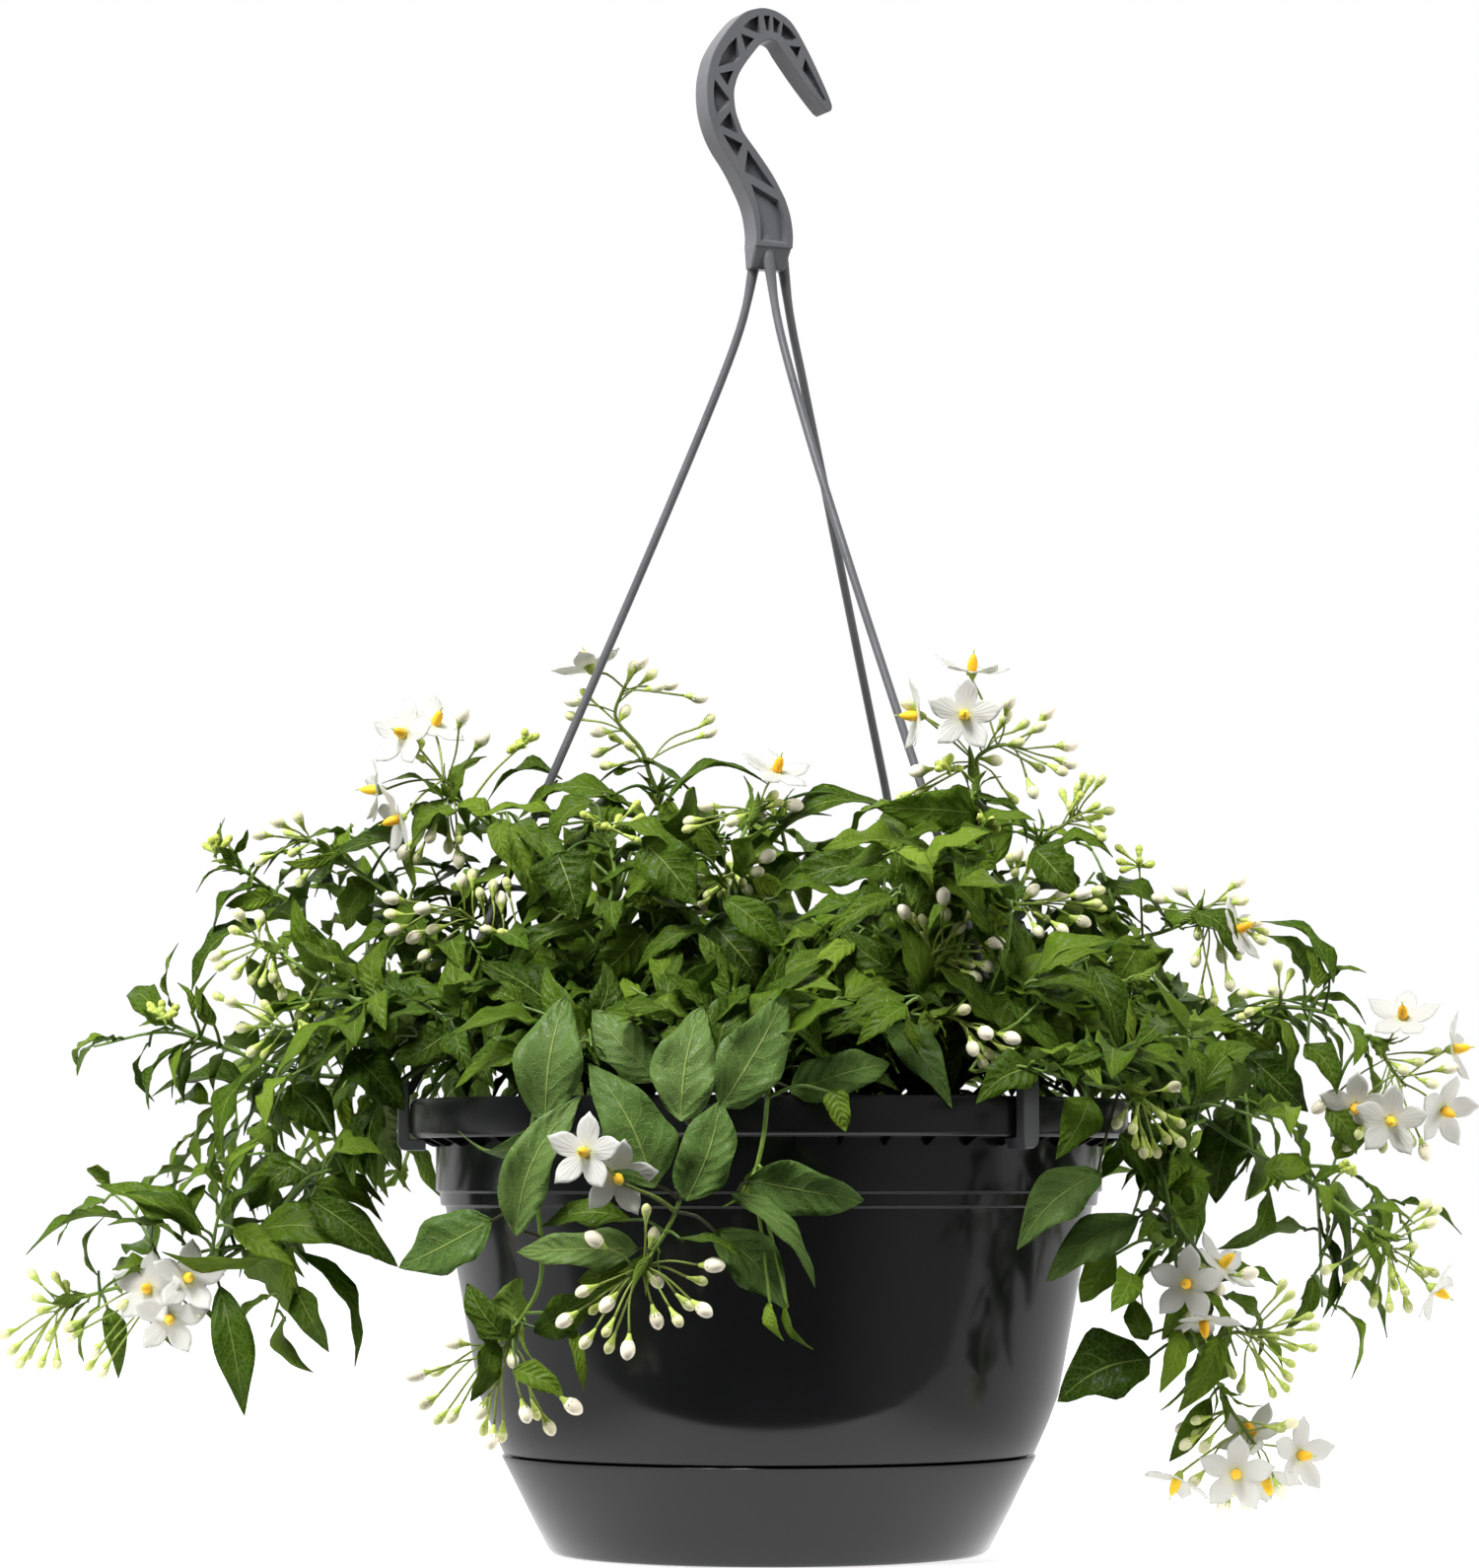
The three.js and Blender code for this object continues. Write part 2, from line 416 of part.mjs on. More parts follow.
function leafSolid(leaf, extra) {
  const [root, base, tip] = leaf.points;
  const run = tip.clone().sub(base);
  const length = run.length();
  run.normalize();
  const [face] = squareTo(run, leaf.normal);
  const side = new THREE.Vector3().crossVectors(face, run);
  const stalk = base.clone().sub(root).normalize();
  const rings = [
    ringAt(root, stalk, side, PETIOLE_RADIUS + extra, 4),
    ringAt(base, stalk.clone().add(run).normalize(), side, PETIOLE_RADIUS + extra, 4),
  ];
  leafStations(length).forEach(([along, share], index) => {
    const centre = base.clone()
      .addScaledVector(run, along * length)
      .addScaledVector(face, leaf.arch * length * Math.sin(Math.PI * along));
    const wave = index % 2 === 0 ? 1 : -1;
    const half = share * leaf.width / 2;
    const edge = (sign) => centre.clone()
      .addScaledVector(side, sign * (half * (1 + sign * wave * EDGE_RIPPLE) + extra))
      .addScaledVector(face, half * (BLADE_FOLD + sign * wave * EDGE_WAVE));
    const thick = BLADE_HALF_THICKNESS + extra;
    rings.push([
      edge(1),
      centre.clone().addScaledVector(face, thick),
      edge(-1),
      centre.clone().addScaledVector(face, -thick),
    ]);
  });
  return solidOf(loft(rings, tip.clone().addScaledVector(run, extra)));
}

// One bud: a thin pedicel that widens to its joint, and the club of calyx and closed petals, whose
// widest ring lies at this share of the club back from its tip
const PEDICEL_SHARE = 0.2;
const CLUB_WIDEST = 0.42;

function budSolid(bud, extra) {
  const [root, tip] = bud.points;
  const run = tip.clone().sub(root);
  const length = run.length();
  run.normalize();
  const hint = new THREE.Vector3(0.3, 0.9, 0.3);
  const bodyStart = Math.max(PEDICEL_SHARE * length, length - bud.size * BUD_LENGTH);
  const rings = [
    [0, PEDICEL_ROOT_RADIUS],
    [bodyStart, PEDICEL_RADIUS],
    [length - CLUB_WIDEST * (length - bodyStart), bud.size * BUD_RADIUS],
  ].map(([along, radius]) => ringAt(root.clone().addScaledVector(run, along), run, hint, radius + extra, 3));
  return solidOf(loft(rings, tip.clone().addScaledVector(run, extra)));
}

// One open flower: a five-pointed star of joined petals with its cone of anthers
const STAR_HALF_THICKNESS = 0.8;
const STAR_CUP = 2.4;
const CONE_LENGTH = 6;
const CONE_RADIUS = 1.9;
const STALK_OVERLAP = 0.3;

function flowerSolid(flower, extra) {
  const [root, centre, ahead] = flower.points;
  const face = ahead.clone().sub(centre).normalize();
  const [side, rise] = squareTo(face, new THREE.Vector3(0.1, 0, 1));
  const around = (count, radiusOf, liftOf) => Array.from({ length: count }, (_, index) => {
    const angle = (2 * Math.PI * index) / count;
    return centre.clone()
      .addScaledVector(side, (radiusOf(index) + extra) * Math.cos(angle))
      .addScaledVector(rise, (radiusOf(index) + extra) * Math.sin(angle))
      .addScaledVector(face, liftOf(index));
  });
  const isTip = (index) => index % 2 === 0;
  const rim = around(
    10,
    (index) => (isTip(index) ? FLOWER_RADIUS : NOTCH_RADIUS),
    (index) => (isTip(index) ? STAR_CUP : 0),
  );
  const eye = around(5, () => CONE_RADIUS, () => STAR_HALF_THICKNESS + extra);
  const coneTip = centre.clone().addScaledVector(face, CONE_LENGTH + extra);
  const back = centre.clone().addScaledVector(face, -STAR_HALF_THICKNESS - extra);
  const points = [...rim, ...eye, coneTip, back];
  const [coneTipPlace, backPlace] = [15, 16];
  const triangles = [];
  for (let petal = 0; petal < 5; petal += 1) {
    const tip = 2 * petal;
    const notch = tip + 1;
    const nextTip = (tip + 2) % 10;
    const inner = 10 + petal;
    const nextInner = 10 + ((petal + 1) % 5);
    triangles.push([tip, notch, inner], [notch, nextInner, inner], [notch, nextTip, nextInner]);
    triangles.push([inner, nextInner, coneTipPlace], [notch, tip, backPlace], [nextTip, notch, backPlace]);
  }
  const star = solidOf(facingOut(points, triangles));
  const stalk = centre.clone().sub(root).normalize();
  const stalkRings = [
    ringAt(root, stalk, side, PEDICEL_ROOT_RADIUS + extra, 3),
    ringAt(centre.clone().addScaledVector(stalk, -STALK_OVERLAP), stalk, side, PEDICEL_RADIUS + extra, 3),
  ];
  return star.add(solidOf(loft(stalkRings, centre.clone().addScaledVector(stalk, STALK_OVERLAP))));
}

// What already stands in its place. A new leaf, bud or flower is bent clear of it, by turning
// about its root, and is left off where no small turn clears it.
const standing = [];
const SWING_STEPS = [0, 8, -8, 16, -16, 25, -25, 36, -36];
const SWING_AXES = [new THREE.Vector3(0, 0, 1), new THREE.Vector3(1, 0, 0), new THREE.Vector3(0, 1, 0)];

function stand(owner, kind, solid) {
  standing.push({ owner, kind, solid, box: solid.boundingBox() });
}

function boxesMeet(first, second) {
  const along = (axis) => first.min[axis] <= second.max[axis] && second.min[axis] <= first.max[axis];
  return along(0) && along(1) && along(2);
}

function isClear(solid, owner, mayCrossOwn) {
  const box = solid.boundingBox();
  return standing.every((other) => {
    if (other.owner === owner && (other.kind === 'stem' || mayCrossOwn)) return true;
    return !boxesMeet(box, other.box) || solid.intersect(other.solid).isEmpty();
  });
}

function swung(organ, axis, degrees) {
  const turn = new THREE.Quaternion().setFromAxisAngle(axis, THREE.MathUtils.degToRad(degrees));
  const pivot = organ.points[0];
  const points = organ.points.map((point) => point.clone().sub(pivot).applyQuaternion(turn).add(pivot));
  return { ...organ, points, normal: organ.normal?.clone().applyQuaternion(turn) };
}

function bentClear(organ, build, owner, kind) {
  const swings = SWING_STEPS.flatMap((degrees) => SWING_AXES.map((axis) => swung(organ, axis, degrees)));
  const fits = (mayCrossOwn) => swings.find((bent) => isClear(build(bent, FIT_GAP), owner, mayCrossOwn));
  const bent = fits(false) ?? (kind === 'rule leaf' ? null : fits(true));
  if (!bent) return null;
  const solid = build(bent, 0);
  stand(owner, kind, solid);
  return solid;
}

// The pot, tray and soil: [radius, height] round the axis. The outlines run round closed walls.
const POT_OUTLINE = [
  [0, 2.3], [75, 2.3], [85.4, 19], [95.6, 36.9], [99.3, 37.2], [108.3, 58.8], [110.9, 72.5],
  [120.9, 127], [123.5, 129], [125, 134.7], [125, 154.4], [RIM_RADIUS, 154.4], [RIM_RADIUS, POT_HEIGHT],
  [132.6, POT_HEIGHT], [132, 158.5], [122.6, 156.5], [122.4, 136], [108.4, 73], [105.7, 60], [76, 8],
    [0, 5],
];
const TRAY_OUTLINE = [
  [0, 0], [79.5, 0], [82.3, 1.8], [90.6, 17.5], [95.4, 27.2], [100.2, 35], [100.2, 36.6], [98.2, 36.6],
  [91.8, 26], [80.6, 5.6], [75, 2], [0, 2],
];
const SOIL_OUTLINE = [
  [0, 5.4], [75.5, 8.5], [105.2, 60.4], [107.9, 73], [121.9, 136.3], [121.9, 154.5], [96, SOIL_HEIGHT],
  [0, SOIL_HEIGHT + 1.5],
];

function turned(outline) {
  const points = outline.map(([radius, height]) => new THREE.Vector2(radius, height));
  if (outline[0][0] !== 0) points.push(points[0].clone());
  const geometry = new THREE.LatheGeometry(points, ROUND_SIDES);
  geometry.rotateX(Math.PI / 2);
  return solidOf(geometry);
}

function uprightPrism(x, y, radius, sides, low, high) {
  const geometry = new THREE.CylinderGeometry(radius, radius, high - low, sides);
  geometry.rotateX(Math.PI / 2);
  geometry.translate(x, y, (low + high) / 2);
  return solidOf(geometry);
}

function potSolid() {
  let pot = turned(POT_OUTLINE);
  for (const degrees of DRAIN_AZIMUTHS) {
    const angle = THREE.MathUtils.degToRad(degrees);
    const x = DRAIN_CIRCLE * Math.cos(angle);
    const y = DRAIN_CIRCLE * Math.sin(angle);
    pot = pot.subtract(uprightPrism(x, y, DRAIN_RADIUS, DRAIN_SIDES, 0, DRAIN_TOP));
  }
  return pot;
}

// The hanger. The hook's face outlines are [x as seen, height]; faceX lays them into the hook's own
// plane, which is turned about the upright axis.
const HOOK_OUTER = [
  [24, 550], [20, 560], [12, 574], [8, 580], [0, 584], [-8, 582.4], [-14, 577], [-19, 568], [-22.6, 557],
  [-23.4, 548], [-21, 537], [-16, 528.5], [-11, 522], [-7.4, 512], [-5.6, 502], [-5.4, 490],
];
const HOOK_INNER = [
  [7.4, 490], [9, 498], [8, 507], [4, 519], [-3, 530], [-9.5, 539], [-12.6, 546], [-12.8, 553], [-11, 560],
  [-7, 566], [-2, HOOK_HEIGHT], [3, 571.4], [8, 565], [15, 555], [20, 548],
];
const POCKETS = [
  [[-4, 581.3], [-10, 577], [-3.6, 575.7]], [[-2, 582], [4.4, 579.8], [3.8, 576], [-1, 576]],
  [[5.4, 579.3], [10, 574.6], [5.6, 574.4]], [[7.6, 571.6], [12.2, 571.2], [10.8, 566]],
  [[13.4, 567], [21.4, 550.8], [12.6, 562.6]], [[-10.2, 574], [-5.6, 573], [-9, 568.4]],
  [[-12.4, 573.4], [-11, 565.4], [-19, 561.4]], [[-14, 559.8], [-19, 558.6], [-15, 554]],
  [[-20.3, 556], [-15.2, 549], [-20, 543.4]], [[-15, 543.8], [-18.8, 539.2], [-12, 536.8]],
  [[-17, 535.4], [-10.6, 532.6], [-12.6, 527.6]], [[-8.3, 530.4], [1.8, 516.8], [-9, 522.2]],
];
const PANEL = [[-6.4, 517.6], [3.6, 512.6], [7, 496.6], [-3.4, 497], [-4.2, 508]];
const ARM_RUN = [[2.6, 497], [5.4, 486], [13, 455], [40, 388], [80, 295], [128, 186], [137.3, 170]];
const CLIP_OUTLINE = [
  [RIM_RADIUS + FIT_GAP, 177], [139.4, 177], [139.4, 150], [129, 150], [129, 154.1],
    [RIM_RADIUS + FIT_GAP, 154.1],
];

function faceX(x) {
  return (x - (HOOK_THICKNESS / 2) * Math.sin(HOOK_YAW)) / Math.cos(HOOK_YAW);
}

// A plate of this shape in the hook's plane, its far face this much nearer than the hook's own
function hookPlate(shape, depth, setForward) {
  const plateOptions = { depth, steps: 1, bevelEnabled: false, curveSegments: 1 };
  const geometry = new THREE.ExtrudeGeometry(shape, plateOptions);
  geometry.rotateX(Math.PI / 2);
  geometry.translate(0, HOOK_THICKNESS / 2 - setForward, 0);
  geometry.rotateZ(HOOK_YAW);
  return solidOf(geometry);
}

// The pockets and the panel are sunk into the near face, which looks towards EYE
function hookSolid() {
  const flat = ([x, height]) => new THREE.Vector2(faceX(x), height);
  const outline = new THREE.Shape();
  outline.moveTo(...flat(HOOK_OUTER[0]).toArray());
  outline.splineThru(HOOK_OUTER.slice(1).map(flat));
  outline.lineTo(...flat(HOOK_INNER[0]).toArray());
  outline.splineThru(HOOK_INNER.slice(1).map(flat));
  outline.closePath();
  let hook = hookPlate(outline, HOOK_THICKNESS, 0);
  const cut = (corners, depth) => {
    const shape = new THREE.Shape(corners.map(flat));
    hook = hook.subtract(hookPlate(shape, depth + CUT_PAST_FACE, HOOK_THICKNESS - depth));
  };
  POCKETS.forEach((corners) => cut(corners, POCKET_DEPTH));
  cut(PANEL, PANEL_DEPTH);
  return hook;
}

function armSolid(degrees) {
  const angle = THREE.MathUtils.degToRad(degrees);
  const outward = new THREE.Vector3(Math.cos(angle), Math.sin(angle), 0);
  const points = ARM_RUN.map(([radius, height]) => outward.clone().multiplyScalar(radius).setZ(height));
  const section = new THREE.Shape(
    Array.from({ length: ARM_SIDES }, (_, index) => new THREE.Vector2(
      ARM_RADIUS * Math.cos((2 * index * Math.PI) / ARM_SIDES),
      ARM_RADIUS * Math.sin((2 * index * Math.PI) / ARM_SIDES),
    )),
  );
  const extrudePath = new THREE.CatmullRomCurve3(points, false, 'centripetal');
  const arm = new THREE.ExtrudeGeometry(section, { steps: ARM_PIECES, bevelEnabled: false, extrudePath });
  const outline = new THREE.Shape(CLIP_OUTLINE.map(([radius, height]) => new THREE.Vector2(radius, height)));
  const clip = new THREE.ExtrudeGeometry(outline, { depth: CLIP_WIDTH, steps: 1, bevelEnabled: false });
  clip.translate(0, 0, -CLIP_WIDTH / 2);
  clip.rotateX(Math.PI / 2);
  clip.rotateZ(angle);
  return solidOf(arm).add(solidOf(clip));
}

function hangerSolid() {
  return ARM_AZIMUTHS.reduce((hanger, degrees) => hanger.add(armSolid(degrees)), hookSolid());
}

// Shoots. Those of the far side rise or droop by a drawn lift, less near the root.
const LOWEST_LIFT = -10;
const HIGHEST_LIFT = 22;
const LIFT_NEAR_ROOT = 0.3;

function backShoots() {
  return BACK_AZIMUTHS.map((degrees, index) => {
    const angle = THREE.MathUtils.degToRad(degrees);
    const draw = drawing(BACK_SEED + index);
    const lift = draw(LOWEST_LIFT, HIGHEST_LIFT);
    const out = [Math.cos(angle), Math.sin(angle)];
    const root = [out[0] * BACK_ROOT_RADIUS, out[1] * BACK_ROOT_RADIUS];
    const points = BACK_REACH.map(([radius, height], place) => new THREE.Vector3(
      out[0] * radius,
      out[1] * radius,
      height + lift * (place > 0 ? 1 : LIFT_NEAR_ROOT),
    ));
    return { name: `shoot_back_${index + 1}`, root, points, hand: false };
  });
}

function allShoots() {
  const surveyed = SHOOTS.map(([name, root, via]) => ({
    name,
    root,
    points: via.map(([x, height, depth]) => seen(x, height, depth)),
    hand: true,
  }));
  return [...surveyed, ...backShoots()];
}

function standingStem(shoot) {
  const [x, y] = shoot.root;
  const low = new THREE.Vector3(x, y, SOIL_HEIGHT - ROOT_DEPTH);
  const collar = low.clone().setZ(SOIL_HEIGHT + STEM_COLLAR);
  const high = low.clone().setZ(SOIL_HEIGHT + STEM_RISE);
  const points = [collar, high, ...shoot.points];
  const stem = stemSolid(points, low, STEM_ROOT_RADIUS, STEM_TIP_RADIUS, STEM_SIDES, STEM_STEP);
  stand(shoot.name, 'stem', stem.solid);
  return { ...shoot, ...stem, parts: [stem.solid] };
}

// The place on a stem nearest to a point, past a first share of the stem that bears nothing
const PLACES = 60;
const BARE_STEM = 0.12;
const BARE_STALK = 0.3;

function nearestOn(centreLine, point, from) {
  let best = null;
  for (let index = 0; index <= PLACES; index += 1) {
    const along = from + ((1 - from) * index) / PLACES;
    const place = centreLine.getPoint(along);
    const distance = place.distanceTo(point);
    if (!best || distance < best.distance) best = { place, distance, along };
  }
  return best;
}

function bearingShoot(shoots, point) {
  return shoots
    .map((shoot) => ({ shoot, ...nearestOn(shoot.centreLine, point, BARE_STEM) }))
    .reduce((first, second) => (second.distance < first.distance ? second : first));
}

// A blade's normal from its run and its roll about it
function rolledNormal(run, roll) {
  const toEye = new THREE.Vector3(0, -1, 0);
  const [facing] = squareTo(run, toEye);
  const left = new THREE.Vector3().crossVectors(facing, run);
  const angle = THREE.MathUtils.degToRad(roll);
  return facing.multiplyScalar(Math.cos(angle)).addScaledVector(left, Math.sin(angle));
}

const ARCH_FLAT = 0.1;
const ARCH_EDGE = 0.16;

function surveyedLeaves(shoots) {
  for (const [baseX, baseHeight, tipX, tipHeight, depth, gained, width, roll] of LEAVES) {
    const base = seen(baseX, baseHeight, depth);
    const tip = seen(tipX, tipHeight, depth + gained);
    const run = tip.clone().sub(base).normalize();
    const bearer = bearingShoot(shoots, base);
    const arch = ARCH_FLAT + ARCH_EDGE * Math.abs(Math.sin(THREE.MathUtils.degToRad(roll)));
    const leaf = { points: [bearer.place, base, tip], normal: rolledNormal(run, roll), width, arch };
    const solid = bentClear(leaf, leafSolid, bearer.shoot.name, 'leaf');
    if (solid) bearer.shoot.parts.push(solid);
  }
}

// Leaves by rule: one at a time round the stem by the golden angle, larger near the root
const GOLDEN_ANGLE = 137.5;
const OUTWARD_LEAN = 0.006;
const STEP_SHARES = [0.85, 1.15];
const SIZE_SHARES = [0.85, 1.12];
const WIDTH_SHARES = [0.38, 0.44];
const ARCH_SHARES = [0.1, 0.22];
const PETIOLE_REACH = [8, 13];
const PETIOLE_LEAN = 4;
const LEAN_ALONG_STEM = [0.4, 0.8];
const DROOP = [-0.75, -0.2];

function ruleLeaves(shoot, seed) {
  const draw = drawing(seed);
  const step = shoot.hand ? SURVEYED_SHOOT_STEP : BACK_SHOOT_STEP;
  let turn = draw(0, 360);
  const lastPlace = shoot.length - LAST_RULE_LEAF;
  for (let along = FIRST_RULE_LEAF; along < lastPlace; along += step * draw(...STEP_SHARES)) {
    const share = along / shoot.length;
    const run = shoot.centreLine.getTangent(share);
    const root = shoot.centreLine.getPoint(share);
    turn += GOLDEN_ANGLE;
    const [side, face] = squareTo(run, new THREE.Vector3(0, 0, 1));
    const angle = THREE.MathUtils.degToRad(turn);
    const out = side.multiplyScalar(Math.cos(angle)).addScaledVector(face, Math.sin(angle));
    const size = THREE.MathUtils.lerp(RULE_LEAF_AT_ROOT, RULE_LEAF_AT_TIP, share) * draw(...SIZE_SHARES);
    const reach = draw(...PETIOLE_REACH);
    const base = root.clone().addScaledVector(out, reach).addScaledVector(run, PETIOLE_LEAN);
    const droop = new THREE.Vector3(0, 0, draw(...DROOP));
    const blade = out.clone().addScaledVector(run, draw(...LEAN_ALONG_STEM)).add(droop);
    const tip = base.clone().addScaledVector(blade.normalize(), size);
    const normal = new THREE.Vector3(root.x * OUTWARD_LEAN, root.y * OUTWARD_LEAN, 1);
    const width = size * draw(...WIDTH_SHARES);
    const leaf = { points: [root, base, tip], normal, width, arch: draw(...ARCH_SHARES) };
    const solid = bentClear(leaf, leafSolid, shoot.name, 'rule leaf');
    if (solid) shoot.parts.push(solid);
  }
}

// Sprays. Each stalk's foot bears on its shoot, off the round of the stem or past its pointed tip.
const TIP_SEAT = 0.6;
const STALK_RISE = 2;
const LOWEST_BRANCH = 0.12;
const HIGHEST_BRANCH = 0.96;

function standingSpray([name, via, buds, flowers], shoots) {
  const nodes = via.map(([x, height, depth]) => seen(x, height, depth));
  const bearer = bearingShoot(shoots, nodes[0]);
  const outward = nodes[0].clone().sub(bearer.place).normalize();
  const isAtTip = bearer.along > 1 - 1 / PLACES;
  const taper = THREE.MathUtils.lerp(STEM_ROOT_RADIUS, STEM_TIP_RADIUS, bearer.along);
  const stemRadius = isAtTip ? TIP_SEAT : taper;
  const foot = bearer.place.clone().addScaledVector(outward, stemRadius + FIT_GAP);
  const rise = foot.clone().addScaledVector(outward, STALK_RISE);
  const points = [foot, rise, ...nodes];
  const stalk = stemSolid(points, null, STALK_RADIUS, PEDICEL_RADIUS, STALK_SIDES, STALK_STEP);
  stand(name, 'stem', stalk.solid);
  return { name, ...stalk, depth: nodes[0].y, buds, flowers, parts: [stalk.solid] };
}

// Where a pedicel leaves the stalk: the nearest place, with each a little below the one before it
function branchPlace(spray, point) {
  const { along } = nearestOn(spray.centreLine, point, BARE_STALK);
  const lowered = along - (spray.parts.length - 1) * (BRANCH_STEP / spray.length);
  return spray.centreLine.getPoint(THREE.MathUtils.clamp(lowered, LOWEST_BRANCH, HIGHEST_BRANCH));
}

function openFlowers(spray) {
  for (const [x, height, depth, right, away, up] of spray.flowers) {
    const centre = seen(x, height, depth);
    const ahead = centre.clone().add(new THREE.Vector3(right, away, up).normalize());
    const flower = { points: [branchPlace(spray, centre), centre, ahead] };
    const solid = bentClear(flower, flowerSolid, spray.name, 'flower');
    if (solid) spray.parts.push(solid);
  }
}

// A bud's widest part is drawn a little nearer or farther than its stalk, and it points away from
// the stalk
const LARGE_BUD = 1.1;
const SMALL_BUD = 0.8;
const BUD_PAST_MIDDLE = 0.35;
const BUD_DEPTHS = [-9, 7];

function closedBuds(spray, seed) {
  const draw = drawing(seed);
  spray.buds.slice(0, BUDS_IN_SPRAY).forEach(([x, height], index) => {
    const node = branchPlace(spray, seen(x, height, spray.depth));
    const middle = seen(x, height, node.y + draw(...BUD_DEPTHS));
    const size = index < LARGE_BUDS ? LARGE_BUD : SMALL_BUD;
    const run = middle.clone().sub(node).normalize();
    const tip = middle.clone().addScaledVector(run, size * BUD_LENGTH * BUD_PAST_MIDDLE);
    const bud = { points: [node, tip], size };
    const solid = bentClear(bud, budSolid, spray.name, 'bud');
    if (solid) spray.parts.push(solid);
  });
}

// Finishes
const blackPlastic = new THREE.MeshStandardMaterial({ color: '#1b1c1e', roughness: 0.32, metalness: 0 });
const greyPlastic = new THREE.MeshStandardMaterial({ color: '#58585b', roughness: 0.45, metalness: 0 });
const pottingSoil = new THREE.MeshStandardMaterial({ color: '#2e231a', roughness: 0.98, metalness: 0 });
const leafGreen = new THREE.MeshStandardMaterial({ color: '#3f6a1f', roughness: 0.5, metalness: 0 });
const petalCream = new THREE.MeshStandardMaterial({ color: '#e9e6cd', roughness: 0.6, metalness: 0 });

const plant = new THREE.Group();
plant.position.z = -HOOK_HEIGHT;

function addNode(name, solid, material) {
  const mesh = new THREE.Mesh(geometryOf(solid), material);
  mesh.name = name;
  plant.add(mesh);
}

const pot = potSolid();
const tray = turned(TRAY_OUTLINE);
const hanger = hangerSolid();
stand('pot', 'made', pot);
stand('tray', 'made', tray);
stand('hanger', 'made', hanger);

const shoots = allShoots().map(standingStem);
const holeFloor = SOIL_HEIGHT - ROOT_DEPTH - FIT_GAP;
const rootHole = (soil, { root: [x, y] }) => soil.subtract(
  uprightPrism(x, y, ROOT_HOLE_RADIUS, STEM_SIDES, holeFloor, SOIL_HEIGHT + STEM_RISE),
);
const soil = shoots.reduce(rootHole, turned(SOIL_OUTLINE));
stand('soil', 'made', soil);

const sprays = SPRAYS.map((spray) => standingSpray(spray, shoots));
sprays.forEach(openFlowers);
sprays.forEach((spray, index) => closedBuds(spray, BUD_SEED + index));
surveyedLeaves(shoots);
shoots.forEach((shoot, index) => ruleLeaves(shoot, LEAF_SEED + index));

addNode('pot', pot, blackPlastic);
addNode('drip_tray', tray, blackPlastic);
addNode('hanger', hanger, greyPlastic);
addNode('soil', soil, pottingSoil);
const joined = (parts) => parts.reduce((whole, part) => whole.add(part));
shoots.forEach((shoot) => addNode(shoot.name, joined(shoot.parts), leafGreen));
sprays.forEach((spray) => addNode(spray.name, joined(spray.parts), petalCream));

export default plant;
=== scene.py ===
# %% [markdown]
# # A potato vine in bloom in its hanging pot
# We dress the measured model of a potted potato vine: a glossy moulded pot with its drip tray, a grey
# plastic hanger, soil, some thirty leafy shoots and the sprays of cream buds and white stars that they
# bear. Lengths are written in millimetres and heights above the pot's underside, as on a drawing. The
# model itself is in metres, with its origin where the hook bears on its rail, so one function carries
# a drawn point there.

import math

import bpy
import numpy as np
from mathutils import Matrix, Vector


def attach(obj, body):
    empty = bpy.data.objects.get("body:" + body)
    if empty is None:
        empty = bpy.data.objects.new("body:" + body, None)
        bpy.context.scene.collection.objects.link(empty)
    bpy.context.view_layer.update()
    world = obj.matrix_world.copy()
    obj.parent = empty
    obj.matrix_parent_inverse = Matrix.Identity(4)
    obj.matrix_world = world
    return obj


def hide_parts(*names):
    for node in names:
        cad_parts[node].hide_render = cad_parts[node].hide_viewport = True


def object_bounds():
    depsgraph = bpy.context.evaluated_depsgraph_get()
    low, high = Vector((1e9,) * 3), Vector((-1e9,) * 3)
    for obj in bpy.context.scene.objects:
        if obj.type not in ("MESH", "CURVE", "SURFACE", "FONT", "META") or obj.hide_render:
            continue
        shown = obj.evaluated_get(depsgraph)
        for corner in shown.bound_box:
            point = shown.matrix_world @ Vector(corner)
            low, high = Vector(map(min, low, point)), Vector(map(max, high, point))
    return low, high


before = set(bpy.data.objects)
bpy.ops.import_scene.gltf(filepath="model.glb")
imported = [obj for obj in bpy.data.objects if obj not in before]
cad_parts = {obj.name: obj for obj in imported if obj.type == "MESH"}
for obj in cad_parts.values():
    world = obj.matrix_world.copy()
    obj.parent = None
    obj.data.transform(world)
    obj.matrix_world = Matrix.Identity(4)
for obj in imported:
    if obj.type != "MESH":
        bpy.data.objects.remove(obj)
bpy.ops.object.select_all(action="DESELECT")
cad_box = [list(corner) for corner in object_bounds()]
print("CAD box", cad_box)

# %% Millimetres to the model's place
MM = 0.001
HOOK_HEIGHT = 572


def level(height):
    return (height - HOOK_HEIGHT) * MM


def placed(point):
    x, y, height = point
    return (x * MM, y * MM, level(height))


print("the pot's underside lies at", placed((0, 0, 0)))

# %% [markdown]
# Every finish is a small tree of shader nodes. Two helpers keep the trees short. The first turns a
# colour as a painter writes it, an sRGB hex value, into the linear numbers that a shader wants. The
# second adds one node. What is written in lower case is a setting of the node, with the stops of a
# colour ramp among them. The rest are its inputs, by name or as i and their number, and each takes a
# value, the output of another node, or a node, which then stands for its first output.

# %% Colour and node helpers
SMOOTH = {"interpolation_type": "SMOOTHSTEP"}


def linear(hex_colour):
    shares = [int(hex_colour[place:place + 2], 16) / 255 for place in (1, 3, 5)]
    return [share / 12.92 if share <= 0.04045 else ((share + 0.055) / 1.055) ** 2.4
            for share in shares] + [1.0]


